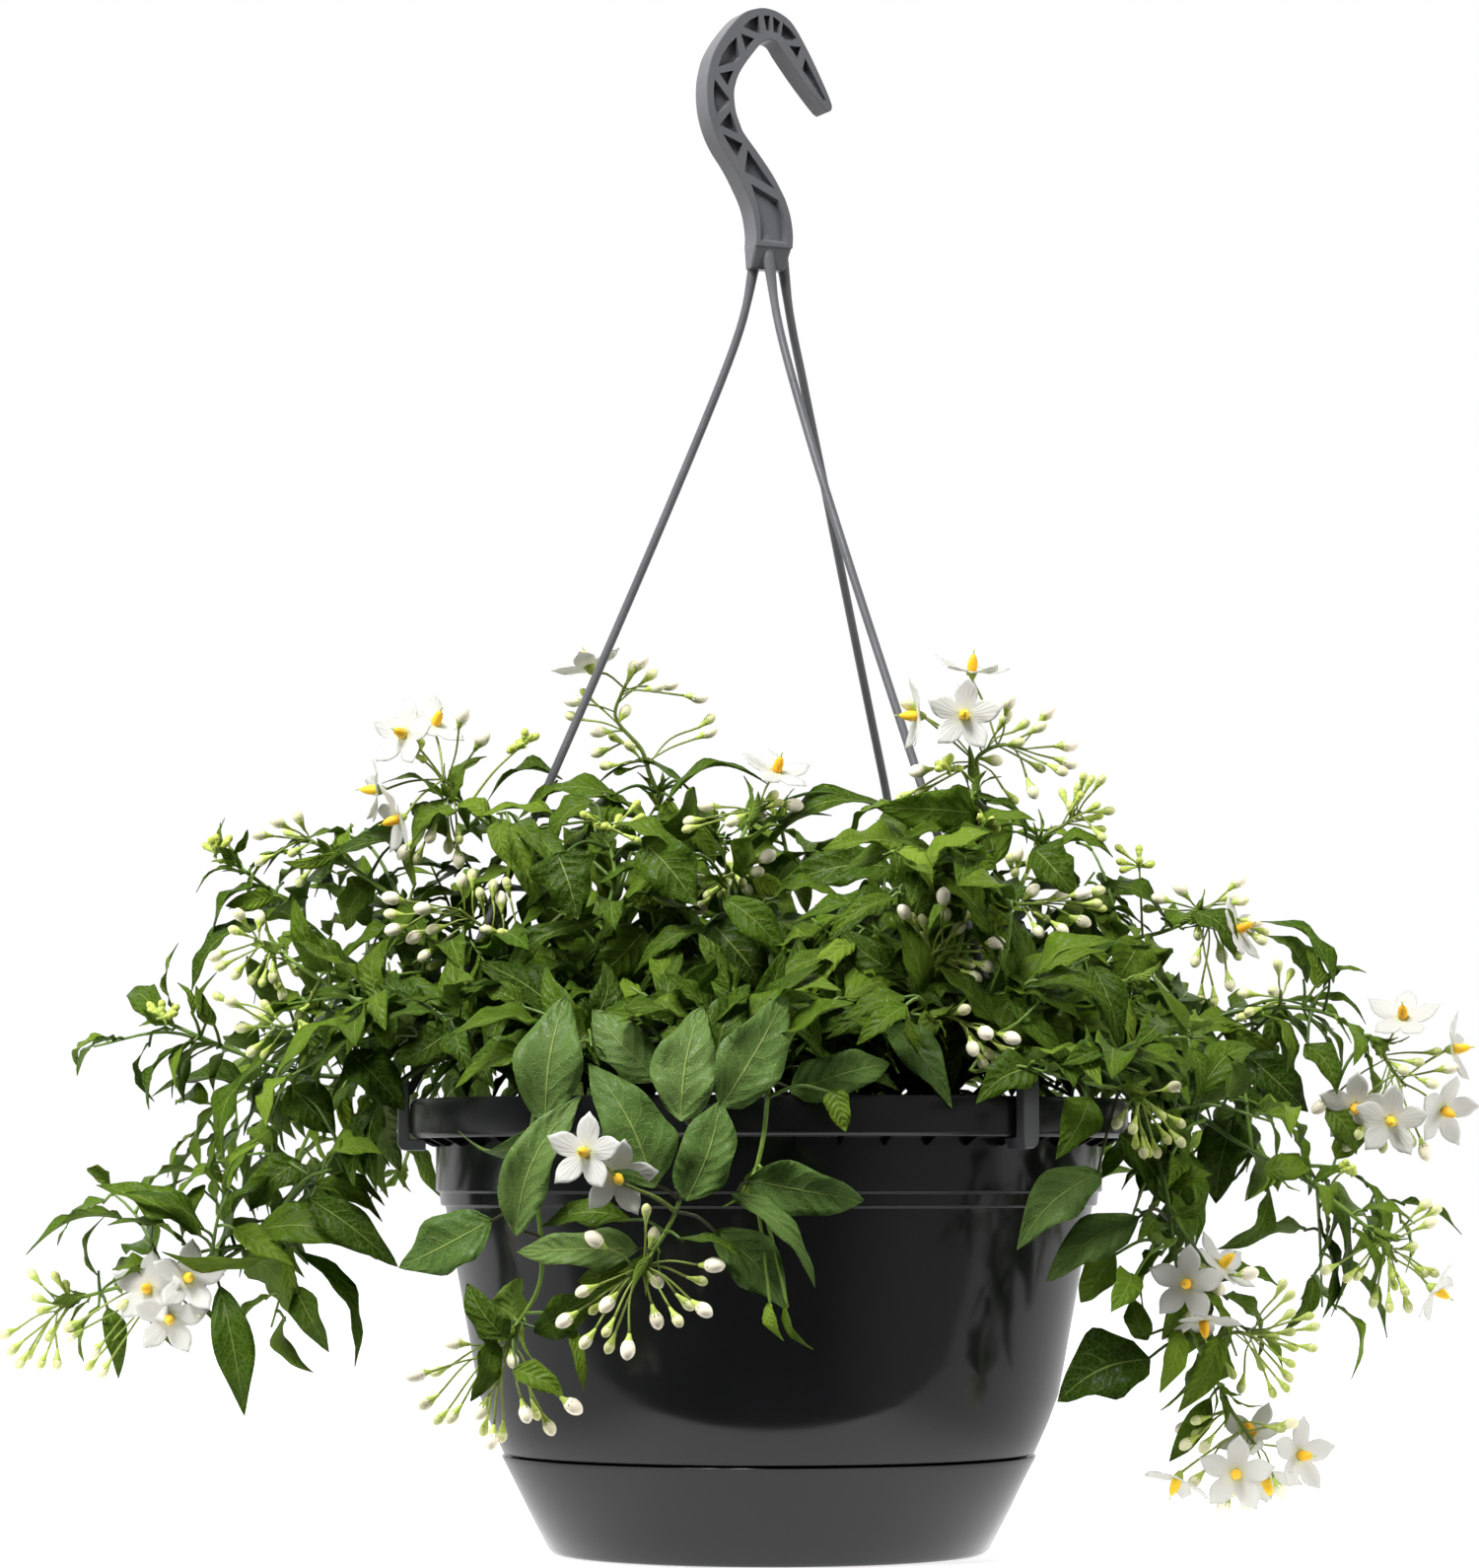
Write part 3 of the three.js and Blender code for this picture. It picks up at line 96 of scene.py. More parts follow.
def add_node(owner, kind, stops=(), **given):
    node = owner.node_tree.nodes.new("ShaderNode" + kind)
    for place, (share, colour) in enumerate(stops):
        ramp = node.color_ramp.elements
        stop = ramp[place] if place < len(ramp) else ramp.new(share)
        stop.position, stop.color = share, linear(colour)
    for key, value in given.items():
        if hasattr(node, key):
            setattr(node, key, value)
            continue
        socket = node.inputs[int(key[1:]) if key[1:].isdigit() else key.replace("_", " ")]
        if isinstance(value, bpy.types.Node):
            value = value.outputs[0]
        if isinstance(value, bpy.types.NodeSocket):
            owner.node_tree.links.new(value, socket)
        else:
            socket.default_value = value
    return node


def new_finish(name):
    material = bpy.data.materials.new(name)
    material.use_nodes = True
    material.node_tree.nodes.clear()
    return material


def show(material, shader):
    add_node(material, "OutputMaterial", Surface=shader)
    print("finish", material.name, "with", len(material.node_tree.nodes), "nodes")
    return material


print("mid grey #808080 sends back", round(linear("#808080")[0], 3), "of the light")

# %% [markdown]
# ## The moulded plastics
# Pot and tray are injection-moulded polypropylene, coloured right through in near-black anthracite.
# The mould was polished, so the skin is glossy with a very faint waviness of about 30 mm and a fine
# orange peel below a millimetre, and handling has dulled it in soft patches, the rim most of all.
# The hanger is the same plastic in mid grey out of a duller tool, so its highlights are broader.

# %% Polypropylene finishes
RIM_UNDERSIDE, RIM_SIDE = 150, 156


def polypropylene(name, colour, dull, glossy, peel_mm, peel_depth, wave_mm, rim_dullness=0.0):
    plastic = new_finish(name)
    where = add_node(plastic, "TexCoord").outputs["Object"]
    patches = add_node(plastic, "TexNoise", Vector=where, Scale=1 / (wave_mm * MM), Detail=3.0)
    gloss = add_node(plastic, "MapRange", Value=patches, i1=0.3, i2=0.7, i3=glossy, i4=dull)
    height = add_node(plastic, "SeparateXYZ", Vector=where).outputs[2]
    handled = add_node(plastic, "MapRange", Value=height, i1=level(RIM_UNDERSIDE), i2=level(RIM_SIDE),
                       i3=0.0, i4=rim_dullness)
    gloss = add_node(plastic, "Math", operation="ADD", i0=gloss, i1=handled)
    tone = add_node(plastic, "MapRange", Value=patches, i1=0.25, i2=0.75, i3=0.88, i4=1.12)
    base = add_node(plastic, "VectorMath", operation="SCALE", i0=linear(colour)[:3], Scale=tone)
    peel = add_node(plastic, "TexNoise", Vector=where, Scale=1 / (peel_mm * MM), Detail=2.0)
    fine = add_node(plastic, "Bump", Height=peel, Strength=peel_depth, Distance=0.2 * MM)
    relief = add_node(plastic, "Bump", Height=patches, Strength=0.05, Distance=0.6 * MM, Normal=fine)
    return show(plastic, add_node(plastic, "BsdfPrincipled", Base_Color=base, Roughness=gloss, IOR=1.49,
                                  Normal=relief))


pot_plastic = polypropylene("anthracite_moulded_polypropylene", "#131415", 0.2, 0.1, 0.9, 0.06, 30, 0.12)
hanger_plastic = polypropylene("grey_moulded_polypropylene", "#5a5b5e", 0.38, 0.26, 1.2, 0.02, 18)

# %% [markdown]
# All pieces are handled in the same way. Small functions pick and copy them, round their corners and
# shade them, join them, and at last give each piece its finish, say how it rides and hide the part that it
# stands in for.

# %% Pieces picked, added and copied


def picked(*pieces):
    bpy.ops.object.select_all(action="DESELECT")
    for piece in pieces:
        piece.select_set(True)
    bpy.context.view_layer.objects.active = pieces[0]


def added(name, data):
    piece = bpy.data.objects.new(name, data)
    bpy.context.collection.objects.link(piece)
    return piece


def copied(piece):
    return added(piece.name, piece.data.copy())


# %% Pieces finished, joined and given their places
SMOOTH_ANGLE = 32


def finished(piece, bevel_mm, segments=3, angle=22):
    picked(piece)
    bpy.ops.object.transform_apply(location=True, rotation=True, scale=True)
    if bevel_mm:
        bevel = piece.modifiers.new("rounded corners", "BEVEL")
        bevel.width = bevel_mm * MM
        bevel.segments = segments
        bevel.limit_method = "ANGLE"
        bevel.angle_limit = math.radians(angle)
        bpy.ops.object.modifier_apply(modifier=bevel.name)
    bpy.ops.object.shade_smooth_by_angle(angle=math.radians(SMOOTH_ANGLE))
    bpy.ops.object.select_all(action="DESELECT")
    print(piece.name, len(piece.data.polygons), "faces")
    return piece


def joined(pieces, name):
    picked(*pieces)
    bpy.ops.object.join()
    pieces[0].name = name
    bpy.ops.object.select_all(action="DESELECT")
    return pieces[0]


def given(piece, finish, slot, *nodes):
    piece.data.materials.clear()
    piece.data.materials.append(finish)
    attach(piece, "root")
    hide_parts(*nodes)


print("faces that meet under", SMOOTH_ANGLE, "degrees are shaded as one")

# %% [markdown]
# ## The pot
# The pot is round, so it is drawn as half a section and turned. By hand that means one disc, then
# extrude and scale, ring after ring: up the outside, over the rolled rim and down the inside to the
# floor. A bevel at the end rounds the corners where the mould's parts met.

# %% Turning a section by extrude and scale
ROUND_SIDES = 96


def closed_up(piece):
    bpy.ops.mesh.select_all(action="SELECT")
    bpy.ops.mesh.normals_make_consistent(inside=False)
    bpy.ops.object.mode_set(mode="OBJECT")
    return piece


def turned(name, section, bevel_mm):
    (radius, height), *rest = section
    bpy.ops.mesh.primitive_circle_add(vertices=ROUND_SIDES, radius=radius * MM, fill_type="NGON",
                                      location=placed((0, 0, height)))
    piece = bpy.context.object
    piece.name = name
    bpy.ops.object.mode_set(mode="EDIT")
    bpy.ops.mesh.select_all(action="SELECT")
    for next_radius, next_height in rest:
        rise = (next_height - height) * MM
        bpy.ops.mesh.extrude_region_move(TRANSFORM_OT_translate={"value": (0, 0, rise)})
        share = next_radius / radius
        bpy.ops.transform.resize(value=(share, share, 1), center_override=placed((0, 0, next_height)))
        radius, height = next_radius, next_height
    return finished(closed_up(piece), bevel_mm)


print("round parts have", ROUND_SIDES, "sides")

# %% The pot's shell
POT_SECTION = [
    (75, 2.3), (85.4, 19), (95.6, 36.9), (99.3, 37.2), (104.6, 49), (108.3, 58.8), (110.9, 72.5),
    (115.9, 100), (120.7, 126), (121.3, 129.2), (123, 129.5), (123.6, 134.3), (125, 134.7), (125, 154.4),
    (133.4, 154.4), (135, 156), (135, 167), (134.2, 169), (132.8, 169), (132.4, 158.5), (122.6, 156.5),
    (122.4, 136), (108.4, 73), (105.7, 60), (90, 28), (76, 8),
]
shell = turned("pot_shell", POT_SECTION, 0.5)

# %% [markdown]
# Under the overhang of the rim sits a row of thin low gusset ribs, which stiffen it against the
# hanger's pull. One rib is a small block whose lower outer edge is pushed in, and copies go round.

# %% Gusset ribs
RIBS = 48
RIB_RADIUS, RIB_HEIGHT, RIB_INNER_RADIUS = 129, 153, 126.2
bpy.ops.mesh.primitive_cube_add(size=1, location=placed((RIB_RADIUS, 0, RIB_HEIGHT)))
rib = bpy.context.object
rib.scale = (8.6 * MM, 0.5 * MM, 3.4 * MM)
bpy.ops.object.transform_apply(location=True, rotation=True, scale=True)
for corner in rib.data.vertices:
    if corner.co.x > RIB_RADIUS * MM and corner.co.z < level(RIB_HEIGHT):
        corner.co.x = RIB_INNER_RADIUS * MM
ribs = []
for index in range(RIBS):
    copy = copied(rib)
    copy.rotation_euler.z = 2 * math.pi * (index + 0.5) / RIBS
    ribs.append(copy)
bpy.data.objects.remove(rib)
rib_ring = finished(joined(ribs, "gusset_ribs"), 0)
pot = joined([shell, rib_ring], "pot_shell")
given(pot, pot_plastic, "pot", "pot")
print("pot with", RIBS, "ribs,", len(pot.data.polygons), "faces")

# %% [markdown]
# ## The drip tray
# The tray is a shallow dish that clips to the pot's foot. Its lip lies a hair under the pot's ledge,
# which is the thin dark line that runs round the pot in the photograph.

# %% The tray
TRAY_SECTION = [
    (72, 1.2), (74, 0), (79, 0), (80.9, 0.4), (82.3, 1.8), (86.4, 9.5), (90.6, 17.5), (95.4, 27.2),
    (99.2, 34.6), (100.2, 36.6), (98.2, 36.6), (91.8, 26), (80.6, 5.6), (75, 2),
]
tray = turned("tray_dish", TRAY_SECTION, 0.4)
given(tray, pot_plastic, "tray", "drip_tray")

# %% [markdown]
# ## The hanger
# Hook, arms and clips are one moulding. The hook is a flat S cored from its face with rows of little
# triangles, which leaves a lattice of ribs: stiff, but with walls thin enough to cool. It is drawn as
# an outline, extruded to its thickness and bevelled, and only then cut with the pockets, whose sides
# lean inwards as a mould's draft makes them. A short tapered foot closes it below.

# %% The hook's outline
HOOK_THICKNESS = 11
HOOK_YAW = math.radians(24)
HOOK_OUTER = [
    (23, 546.1), (24.2, 547), (24.5, 548.6), (24, 550.3), (22.6, 553.9), (19, 561.7), (15.2, 569.3),
    (11, 576.7), (8.2, 580.3), (4.8, 582.6), (1.4, 583.8), (-2, 584.1), (-5.4, 583.3), (-8.4, 582),
    (-11, 579.9), (-14, 576.3), (-16.7, 572.5), (-19.1, 568.5), (-21.2, 564), (-22.3, 559.8), (-23, 556),
    (-23.3, 551.8), (-23.2, 547.7), (-22.7, 543.1), (-21.7, 538.6), (-20, 533.6), (-17.4, 528.5),
    (-14.4, 524), (-11.8, 519.6), (-9.5, 515), (-7.4, 510.5), (-5.9, 505.9), (-5, 501), (-4.6, 496.5),
    (-4.8, 492.3),
]
HOOK_INNER = [
    (9.3, 492.3), (9.5, 496.5), (9.2, 500.6), (8.5, 504.8), (7.4, 508.6), (5.9, 512.4), (1.8, 520),
    (-3.5, 527.6), (-9.1, 535.1), (-10.8, 538.9), (-12.1, 542.7), (-12.7, 546.5), (-12.9, 550.3),
    (-12.3, 554.1), (-11, 557.9), (-8.9, 561.7), (-6.3, 565.5), (-3.5, 569.3), (-1.6, 571.2), (0.3, 572),
    (2.1, 571.9), (3.8, 570.8), (5.5, 568.1), (7.4, 565.3), (12.3, 558.5), (17.7, 551.6), (21.6, 547),
]
POCKETS = [
    [(-9.7, 576.1), (-6.9, 579.1), (-3.7, 581), (-2.6, 574.2), (-4.6, 574.2)],
    [(-1.8, 581.2), (0.6, 581.4), (0.8, 575.7), (-0.7, 575.3)],
    [(1.7, 581.3), (4.6, 579.3), (4.4, 574.8), (2, 575)],
    [(5.5, 579.1), (8.2, 577), (11, 573.6), (10.2, 572.7), (6.7, 572.5), (4.8, 574)],
    [(7.8, 570.5), (12.5, 570.4), (11.7, 565.1)],
    [(14, 566.4), (18.3, 558.3), (22.4, 550.1), (21.7, 549.6), (13, 561.7)],
    [(-10.5, 573.4), (-5.2, 571.9), (-8.4, 566.4)],
    [(-12, 572.1), (-10.5, 564.3), (-11.8, 562.4), (-19.1, 559.7), (-17.8, 564), (-15.3, 568.3)],
    [(-18.7, 557.3), (-13.3, 558.9), (-14.8, 552)],
    [(-20.4, 555), (-14.5, 547.5), (-14.7, 546.1), (-19.3, 540.8), (-20.6, 545.4), (-20.9, 550.3)],
    [(-14.5, 543.1), (-11.3, 534.6), (-18.5, 537.5)],
    [(-17.3, 534.3), (-9.7, 531.1), (-10.6, 524.1), (-14.2, 528.9)],
    [(-8, 529.1), (2.7, 514.5), (-3.9, 517.9), (-9.1, 520.4)],
]
PANEL = [
    (-6.8, 516.3), (3.9, 510.6), (6.3, 504.8), (7.3, 499.1), (7.1, 493.6), (-3, 494.1), (-3.2, 502.9),
    (-4.6, 509.4),
]
print("hook outline:", len(HOOK_OUTER) + len(HOOK_INNER), "points, with", len(POCKETS), "pockets")

# %% Smooth outlines and plates


def spans(points):
    points = [np.array(point, float) for point in points]
    ends = [2 * points[0] - points[1], *points, 2 * points[-1] - points[-2]]
    return zip(ends, ends[1:], ends[2:], ends[3:])


def smooth_through(points, pieces):
    run = []
    for a, b, c, d in spans(points):
        for step in range(pieces):
            t = step / pieces
            run.append(0.5 * (2 * b + (c - a) * t + (2 * a - 5 * b + 4 * c - d) * t * t
                              + (3 * b - a - 3 * c + d) * t ** 3))
    return run + [np.array(points[-1], float)]


def face_x(x):
    return (x - (HOOK_THICKNESS / 2) * math.sin(HOOK_YAW)) / math.cos(HOOK_YAW)


def plate(name, outline, front, depth):
    mesh = bpy.data.meshes.new(name)
    mesh.from_pydata([placed((x, front, height)) for x, height in outline], [], [list(range(len(outline)))])
    piece = added(name, mesh)
    picked(piece)
    bpy.ops.object.mode_set(mode="EDIT")
    bpy.ops.mesh.select_all(action="SELECT")
    bpy.ops.mesh.extrude_region_move(TRANSFORM_OT_translate={"value": (0, depth * MM, 0)})
    return finished(closed_up(piece), 0)


def read_off(place, table):
    return np.interp(place, *zip(*table))


print("half way up, a taper from 1 to 2 reads", read_off(0.5, [(0, 1), (1, 2)]))

# %% The hook, cut and bevelled
FRONT = -HOOK_THICKNESS / 2
POCKET_DEPTH, PANEL_DEPTH, POCKET_DRAFT, CUTTER_START = 2.8, 2.2, 0.16, 0.5
FOOT = [(-4.9, 493.4), (9.3, 493.4), (7.4, 484), (-5.4, 484)]
FOOT_MIDDLE, FOOT_TAPER, FOOT_INSET = 488, 0.5, 0.03
hook_outline = [(face_x(x), z) for x, z in smooth_through(HOOK_OUTER, 5) + smooth_through(HOOK_INNER, 5)]
hook = plate("hook", hook_outline, FRONT, HOOK_THICKNESS)
hook.rotation_euler.z = HOOK_YAW
hook = finished(hook, 0.45, 2, 40)


def drafted_cutter(corners, depth):
    outline = [(face_x(x), z) for x, z in corners]
    cutter = plate("cutter", outline, FRONT - CUTTER_START, CUTTER_START + depth)
    middle = np.mean([corner.co for corner in cutter.data.vertices], axis=0)
    for corner in cutter.data.vertices:
        if corner.co.y > FRONT * MM:
            corner.co.x += POCKET_DRAFT * (middle[0] - corner.co.x)
            corner.co.z += POCKET_DRAFT * (middle[2] - corner.co.z)
    cutter.rotation_euler.z = HOOK_YAW
    return finished(cutter, 0)


cutters = [drafted_cutter(corners, POCKET_DEPTH) for corners in POCKETS]
cutter = joined([*cutters, drafted_cutter(PANEL, PANEL_DEPTH)], "pocket_cutter")
bpy.context.view_layer.objects.active = hook
cut = hook.modifiers.new("pockets", "BOOLEAN")
cut.object = cutter
cut.solver = "EXACT"
bpy.ops.object.modifier_apply(modifier=cut.name)
bpy.data.objects.remove(cutter)
hook = finished(hook, 0)
foot_outline = [(face_x(x), z) for x, z in FOOT]
foot = plate("foot", foot_outline, FRONT + FOOT_INSET, HOOK_THICKNESS - 2 * FOOT_INSET)
for corner in foot.data.vertices:
    if corner.co.z < level(FOOT_MIDDLE):
        corner.co.y *= FOOT_TAPER
foot.rotation_euler.z = HOOK_YAW
foot = finished(foot, 0.8, 3, 20)

# %% [markdown]
# The arms are round rods that leave the hook's foot side by side, thicker at their roots, bow
# outwards and end in clips, which reach over the pot's rim and catch under it. Each arm is a curve
# with a round bevel, turned into a mesh.

# %% Arms and clips
ARM_AZIMUTHS = [186, -48, 60]
ARM_SPREADS = [
    [(170, 0), (490, 0)],
    [(170, 0), (303, -1.7), (363, -2.6), (410, -3.3), (490, -3.3)],
    [(170, 0), (230, 3.8), (290, 5.4), (410, 5.3), (447, 4.7), (485, 3)],
]
ARM_RUN = [(2.6, 497), (5.4, 486), (13, 455), (40, 388), (80, 295), (128, 186), (137.3, 170)]
ROD_RADIUS, ROD_ROOT, CLIP_WIDTH = 1.62, [(472, 1), (488, 1.45)], 8
CLIP = [(135.3, 176), (136.2, 177), (138.4, 177), (139.4, 176), (139.4, 155), (139.4, 153), (139.2, 151.5),
        (138.4, 150.3), (136.5, 149.8), (129, 149.8), (129, 154.1), (135.3, 154.1)]
TONGUE = [(149.8, 0.42), (150.3, 0.62), (151.5, 0.85), (153, 0.97), (155, 1)]


def arm(degrees, spread):
    angle = math.radians(degrees)
    curve = bpy.data.curves.new("arm", "CURVE")
    curve.dimensions = "3D"
    curve.bevel_depth = ROD_RADIUS * MM
    curve.bevel_resolution = 4
    curve.use_fill_caps = True
    run = smooth_through(ARM_RUN, 8)
    spline = curve.splines.new("POLY")
    spline.points.add(len(run) - 1)
    for point, (radius, height) in zip(spline.points, run):
        x, y = radius * math.cos(angle) + read_off(height, spread), radius * math.sin(angle)
        point.co = (*placed((x, y, height)), 1)
        point.radius = read_off(height, ROD_ROOT)
    picked(added("arm", curve))
    bpy.ops.object.convert(target="MESH")
    rod = finished(bpy.context.object, 0)
    clip = plate("clip", CLIP, -CLIP_WIDTH / 2, CLIP_WIDTH)
    for corner in clip.data.vertices:
        corner.co.y *= read_off(corner.co.z / MM + HOOK_HEIGHT, TONGUE)
    clip.rotation_euler.z = angle
    return [rod, finished(clip, 0.5, 2, 40)]


parts = [part for degrees, spread in zip(ARM_AZIMUTHS, ARM_SPREADS) for part in arm(degrees, spread)]
hanger = joined([hook, foot, *parts], "hook_and_arms")
given(hanger, hanger_plastic, "hanger", "hanger")
print("hanger", len(hanger.data.polygons), "faces")

# %% [markdown]
# ## Potting soil
# Little of the soil shows between the stems, but what does is dark, damp and crumbly. It is a disc
# drawn out ring by ring, its points then lifted in soft waves, and some hundreds of small angular
# crumbs of bark and peat are strewn over it. The finish has grains of 2.5 mm and lumps of 14 mm.

# %% Seeded draws
DRAW_FACTOR, DRAW_MODULUS = 48271, 2147483647


def drawing(seed):
    state = [seed]

    def draw(low, high):
        state[0] = state[0] * DRAW_FACTOR % DRAW_MODULUS
        return low + (high - low) * state[0] / DRAW_MODULUS
    return draw


print("the crumbs' first draw is", round(drawing(77)(0, 1), 4))

# %% The soil and its crumbs
SOIL_HEIGHT = 157
CRUMBS, CRUMB_REACH = 700, 120
soil_section = [(75.5, 8.5), (105.2, 60.4), (107.9, 73), (121.9, 136.3), (121.9, 154.5)]
soil_section += [(radius, SOIL_HEIGHT + 0.012 * (122 - radius)) for radius in range(117, 0, -5)]
soil = turned("soil_mass", soil_section, 0)
for corner in soil.data.vertices:
    if corner.co.z > level(155):
        x, y, _ = corner.co
        lift = math.sin(x * 310) * math.cos(y * 270 + 1) + math.sin(x * 90 - y * 140)
        corner.co.z += 0.5 * MM * lift
draw = drawing(77)
bpy.ops.mesh.primitive_ico_sphere_add(subdivisions=1, radius=1)
crumb = bpy.context.object
crumbs = []
for index in range(CRUMBS):
    angle, radius = draw(0, 2 * math.pi), CRUMB_REACH * math.sqrt(draw(0, 1))
    size = draw(0.8, 2.6)
    height = SOIL_HEIGHT + 1.2 + 0.2 * size
    copy = copied(crumb)
    copy.scale = [size * draw(0.5, 1.3) * MM for _ in range(3)]
    copy.rotation_euler = [draw(0, 3) for _ in range(3)]
    copy.location = placed((radius * math.cos(angle), radius * math.sin(angle), height))
    crumbs.append(copy)
bpy.data.objects.remove(crumb)
crumbs = joined(crumbs, "soil_crumbs")
picked(crumbs)
bpy.ops.object.transform_apply(location=True, rotation=True, scale=True)
bpy.ops.object.select_all(action="DESELECT")
soil = joined([soil, crumbs], "soil_mass")
print("soil", len(soil.data.polygons), "faces")

# %% Potting soil's finish
GRAIN_MM, LUMP_MM = 2.5, 14
potting_soil = new_finish("damp_peat_potting_soil")
where = add_node(potting_soil, "TexCoord").outputs["Object"]
grain = add_node(potting_soil, "TexNoise", Vector=where, Scale=1 / (GRAIN_MM * MM), Detail=6.0)
lump = add_node(potting_soil, "TexNoise", Vector=where, Scale=1 / (LUMP_MM * MM), Detail=2.0)
mixed = add_node(potting_soil, "Math", operation="MULTIPLY", i0=grain, i1=lump)
tone = add_node(potting_soil, "ValToRGB", stops=[(0.12, "#17100b"), (0.42, "#4a3625")], Fac=mixed)
rough = add_node(potting_soil, "Bump", Height=grain, Strength=0.8, Distance=1.2 * MM)
show(potting_soil, add_node(potting_soil, "BsdfPrincipled", Base_Color=tone, Roughness=0.93, Normal=rough))
given(soil, potting_soil, "soil", "soil")

# %% [markdown]
# ## Where the plant grows
# The plant was surveyed from one place in front of the pot. Each point is written as [x, height] on
# the upright plane through the pot's axis, over which it is seen, and the depth at which it lies
# behind that plane. So the tables below read like the picture, and `seen` turns them into places.

# %% Survey
EYE = np.array([-11, -2000, 140.6])


def seen(x, height, depth):
    return EYE + (np.array([x, 0, height]) - EYE) * (1 - depth / EYE[1])


print("100 mm behind the pot's axis, a point seen at (100, 200) lies at", seen(100, 200, 100).round(1))

# %% Shoots: name, root [x, y] in the soil, and points [x, height, depth] of the stem
SHOOTS = [
    ["shoot_left_low", [-74, -34], [[-116, 186, -38], [-146, 170, -40], [-172, 140, -34],
     [-203, 110, -24], [-247, 98, -14], [-261, 94, -12]]],
    ["shoot_left_mid", [-84, 10], [[-122, 188, 16], [-152, 178, 18], [-180, 180, 14], [-203, 188, 10],
     [-229, 199, 8]]],
    ["shoot_left_spray", [-60, -18], [[-96, 190, -44], [-118, 193, -52], [-150, 204, -50],
     [-172, 216, -44], [-186, 226, -40]]],
    ["shoot_left_high", [-62, 24], [[-108, 205, 34], [-148, 216, 34], [-172, 232, 30], [-186, 246, 26],
     [-203, 259, 24]]],
    ["shoot_left_top", [-44, 6], [[-88, 215, 2], [-122, 234, -4], [-145, 248, -8], [-163, 261, -8]]],
    ["shoot_top_left", [-30, -4], [[-60, 222, -12], [-84, 257, -15], [-105, 272, -15], [-120, 284, -15]]],
    ["shoot_top_front", [-34, -26], [[-56, 205, -46], [-62, 232, -50], [-58, 255, -48], [-63, 272, -45]]],
    ["shoot_top_airy", [-14, 14], [[-28, 220, 16], [-36, 255, 14], [-42, 285, 12]]],
    ["shoot_top_centre", [-4, -14], [[-8, 210, -30], [-12, 240, -35], [-12, 262, -35], [-6, 277, -32]]],
    ["shoot_top_right", [14, 4], [[36, 215, -40], [60, 248, -88], [74, 272, -92], [78, 288, -86]]],
    ["shoot_right_top", [34, 16], [[66, 215, 26], [92, 245, 28], [103, 266, 26]]],
    ["shoot_right_upper", [52, 28], [[92, 210, 38], [125, 227, 38], [148, 232, 32], [160, 237, 28]]],
    ["shoot_right_arch", [64, 4], [[106, 196, 4], [150, 194, 0], [180, 203, -4], [209, 202, -6],
     [229, 190, -8]]],
    ["shoot_right_low", [82, -12], [[122, 185, -20], [150, 171, -24], [178, 152, -26], [200, 140, -27],
     [229, 118, -28]]],
    ["shoot_right_front", [46, -32], [[78, 187, -106], [97, 182, -116], [113, 177, -112], [127, 174, -99],
     [137, 172, -99]]],
    ["shoot_right_hanging", [62, -26], [[106, 188, -52], [134, 172, -66], [147, 145, -74],
     [152, 115, -76], [158, 84, -76], [171, 58, -74]]],
    ["shoot_front_right", [8, -34], [[20, 189, -66], [36, 195, -86], [50, 201, -102], [64, 200, -108]]],
    ["shoot_spray_stem", [28, -16], [[45, 198, -68], [56, 212, -88], [64, 221, -96]]],
    ["shoot_front_centre", [4, -66], [[2, 186, -108], [0, 176, -138], [-2, 155, -150], [-6, 138, -150]]],
    ["shoot_front_hanging", [-24, -62], [[-28, 187, -104], [-29, 174, -138], [-30, 150, -150],
     [-35, 127, -152], [-46, 108, -154]]],
    ["shoot_front_left", [-50, -50], [[-70, 188, -92], [-84, 176, -120], [-90, 150, -131],
     [-86, 122, -134], [-86, 100, -134], [-96, 82, -132]]],
    ["shoot_right_mid", [66, -42], [[98, 200, -98], [122, 212, -98], [140, 214, -92]]],
    ["shoot_crown", [4, 30], [[2, 220, 44], [8, 250, 52], [4, 276, 52]]],
]
print(len(SHOOTS), "shoots placed by hand")

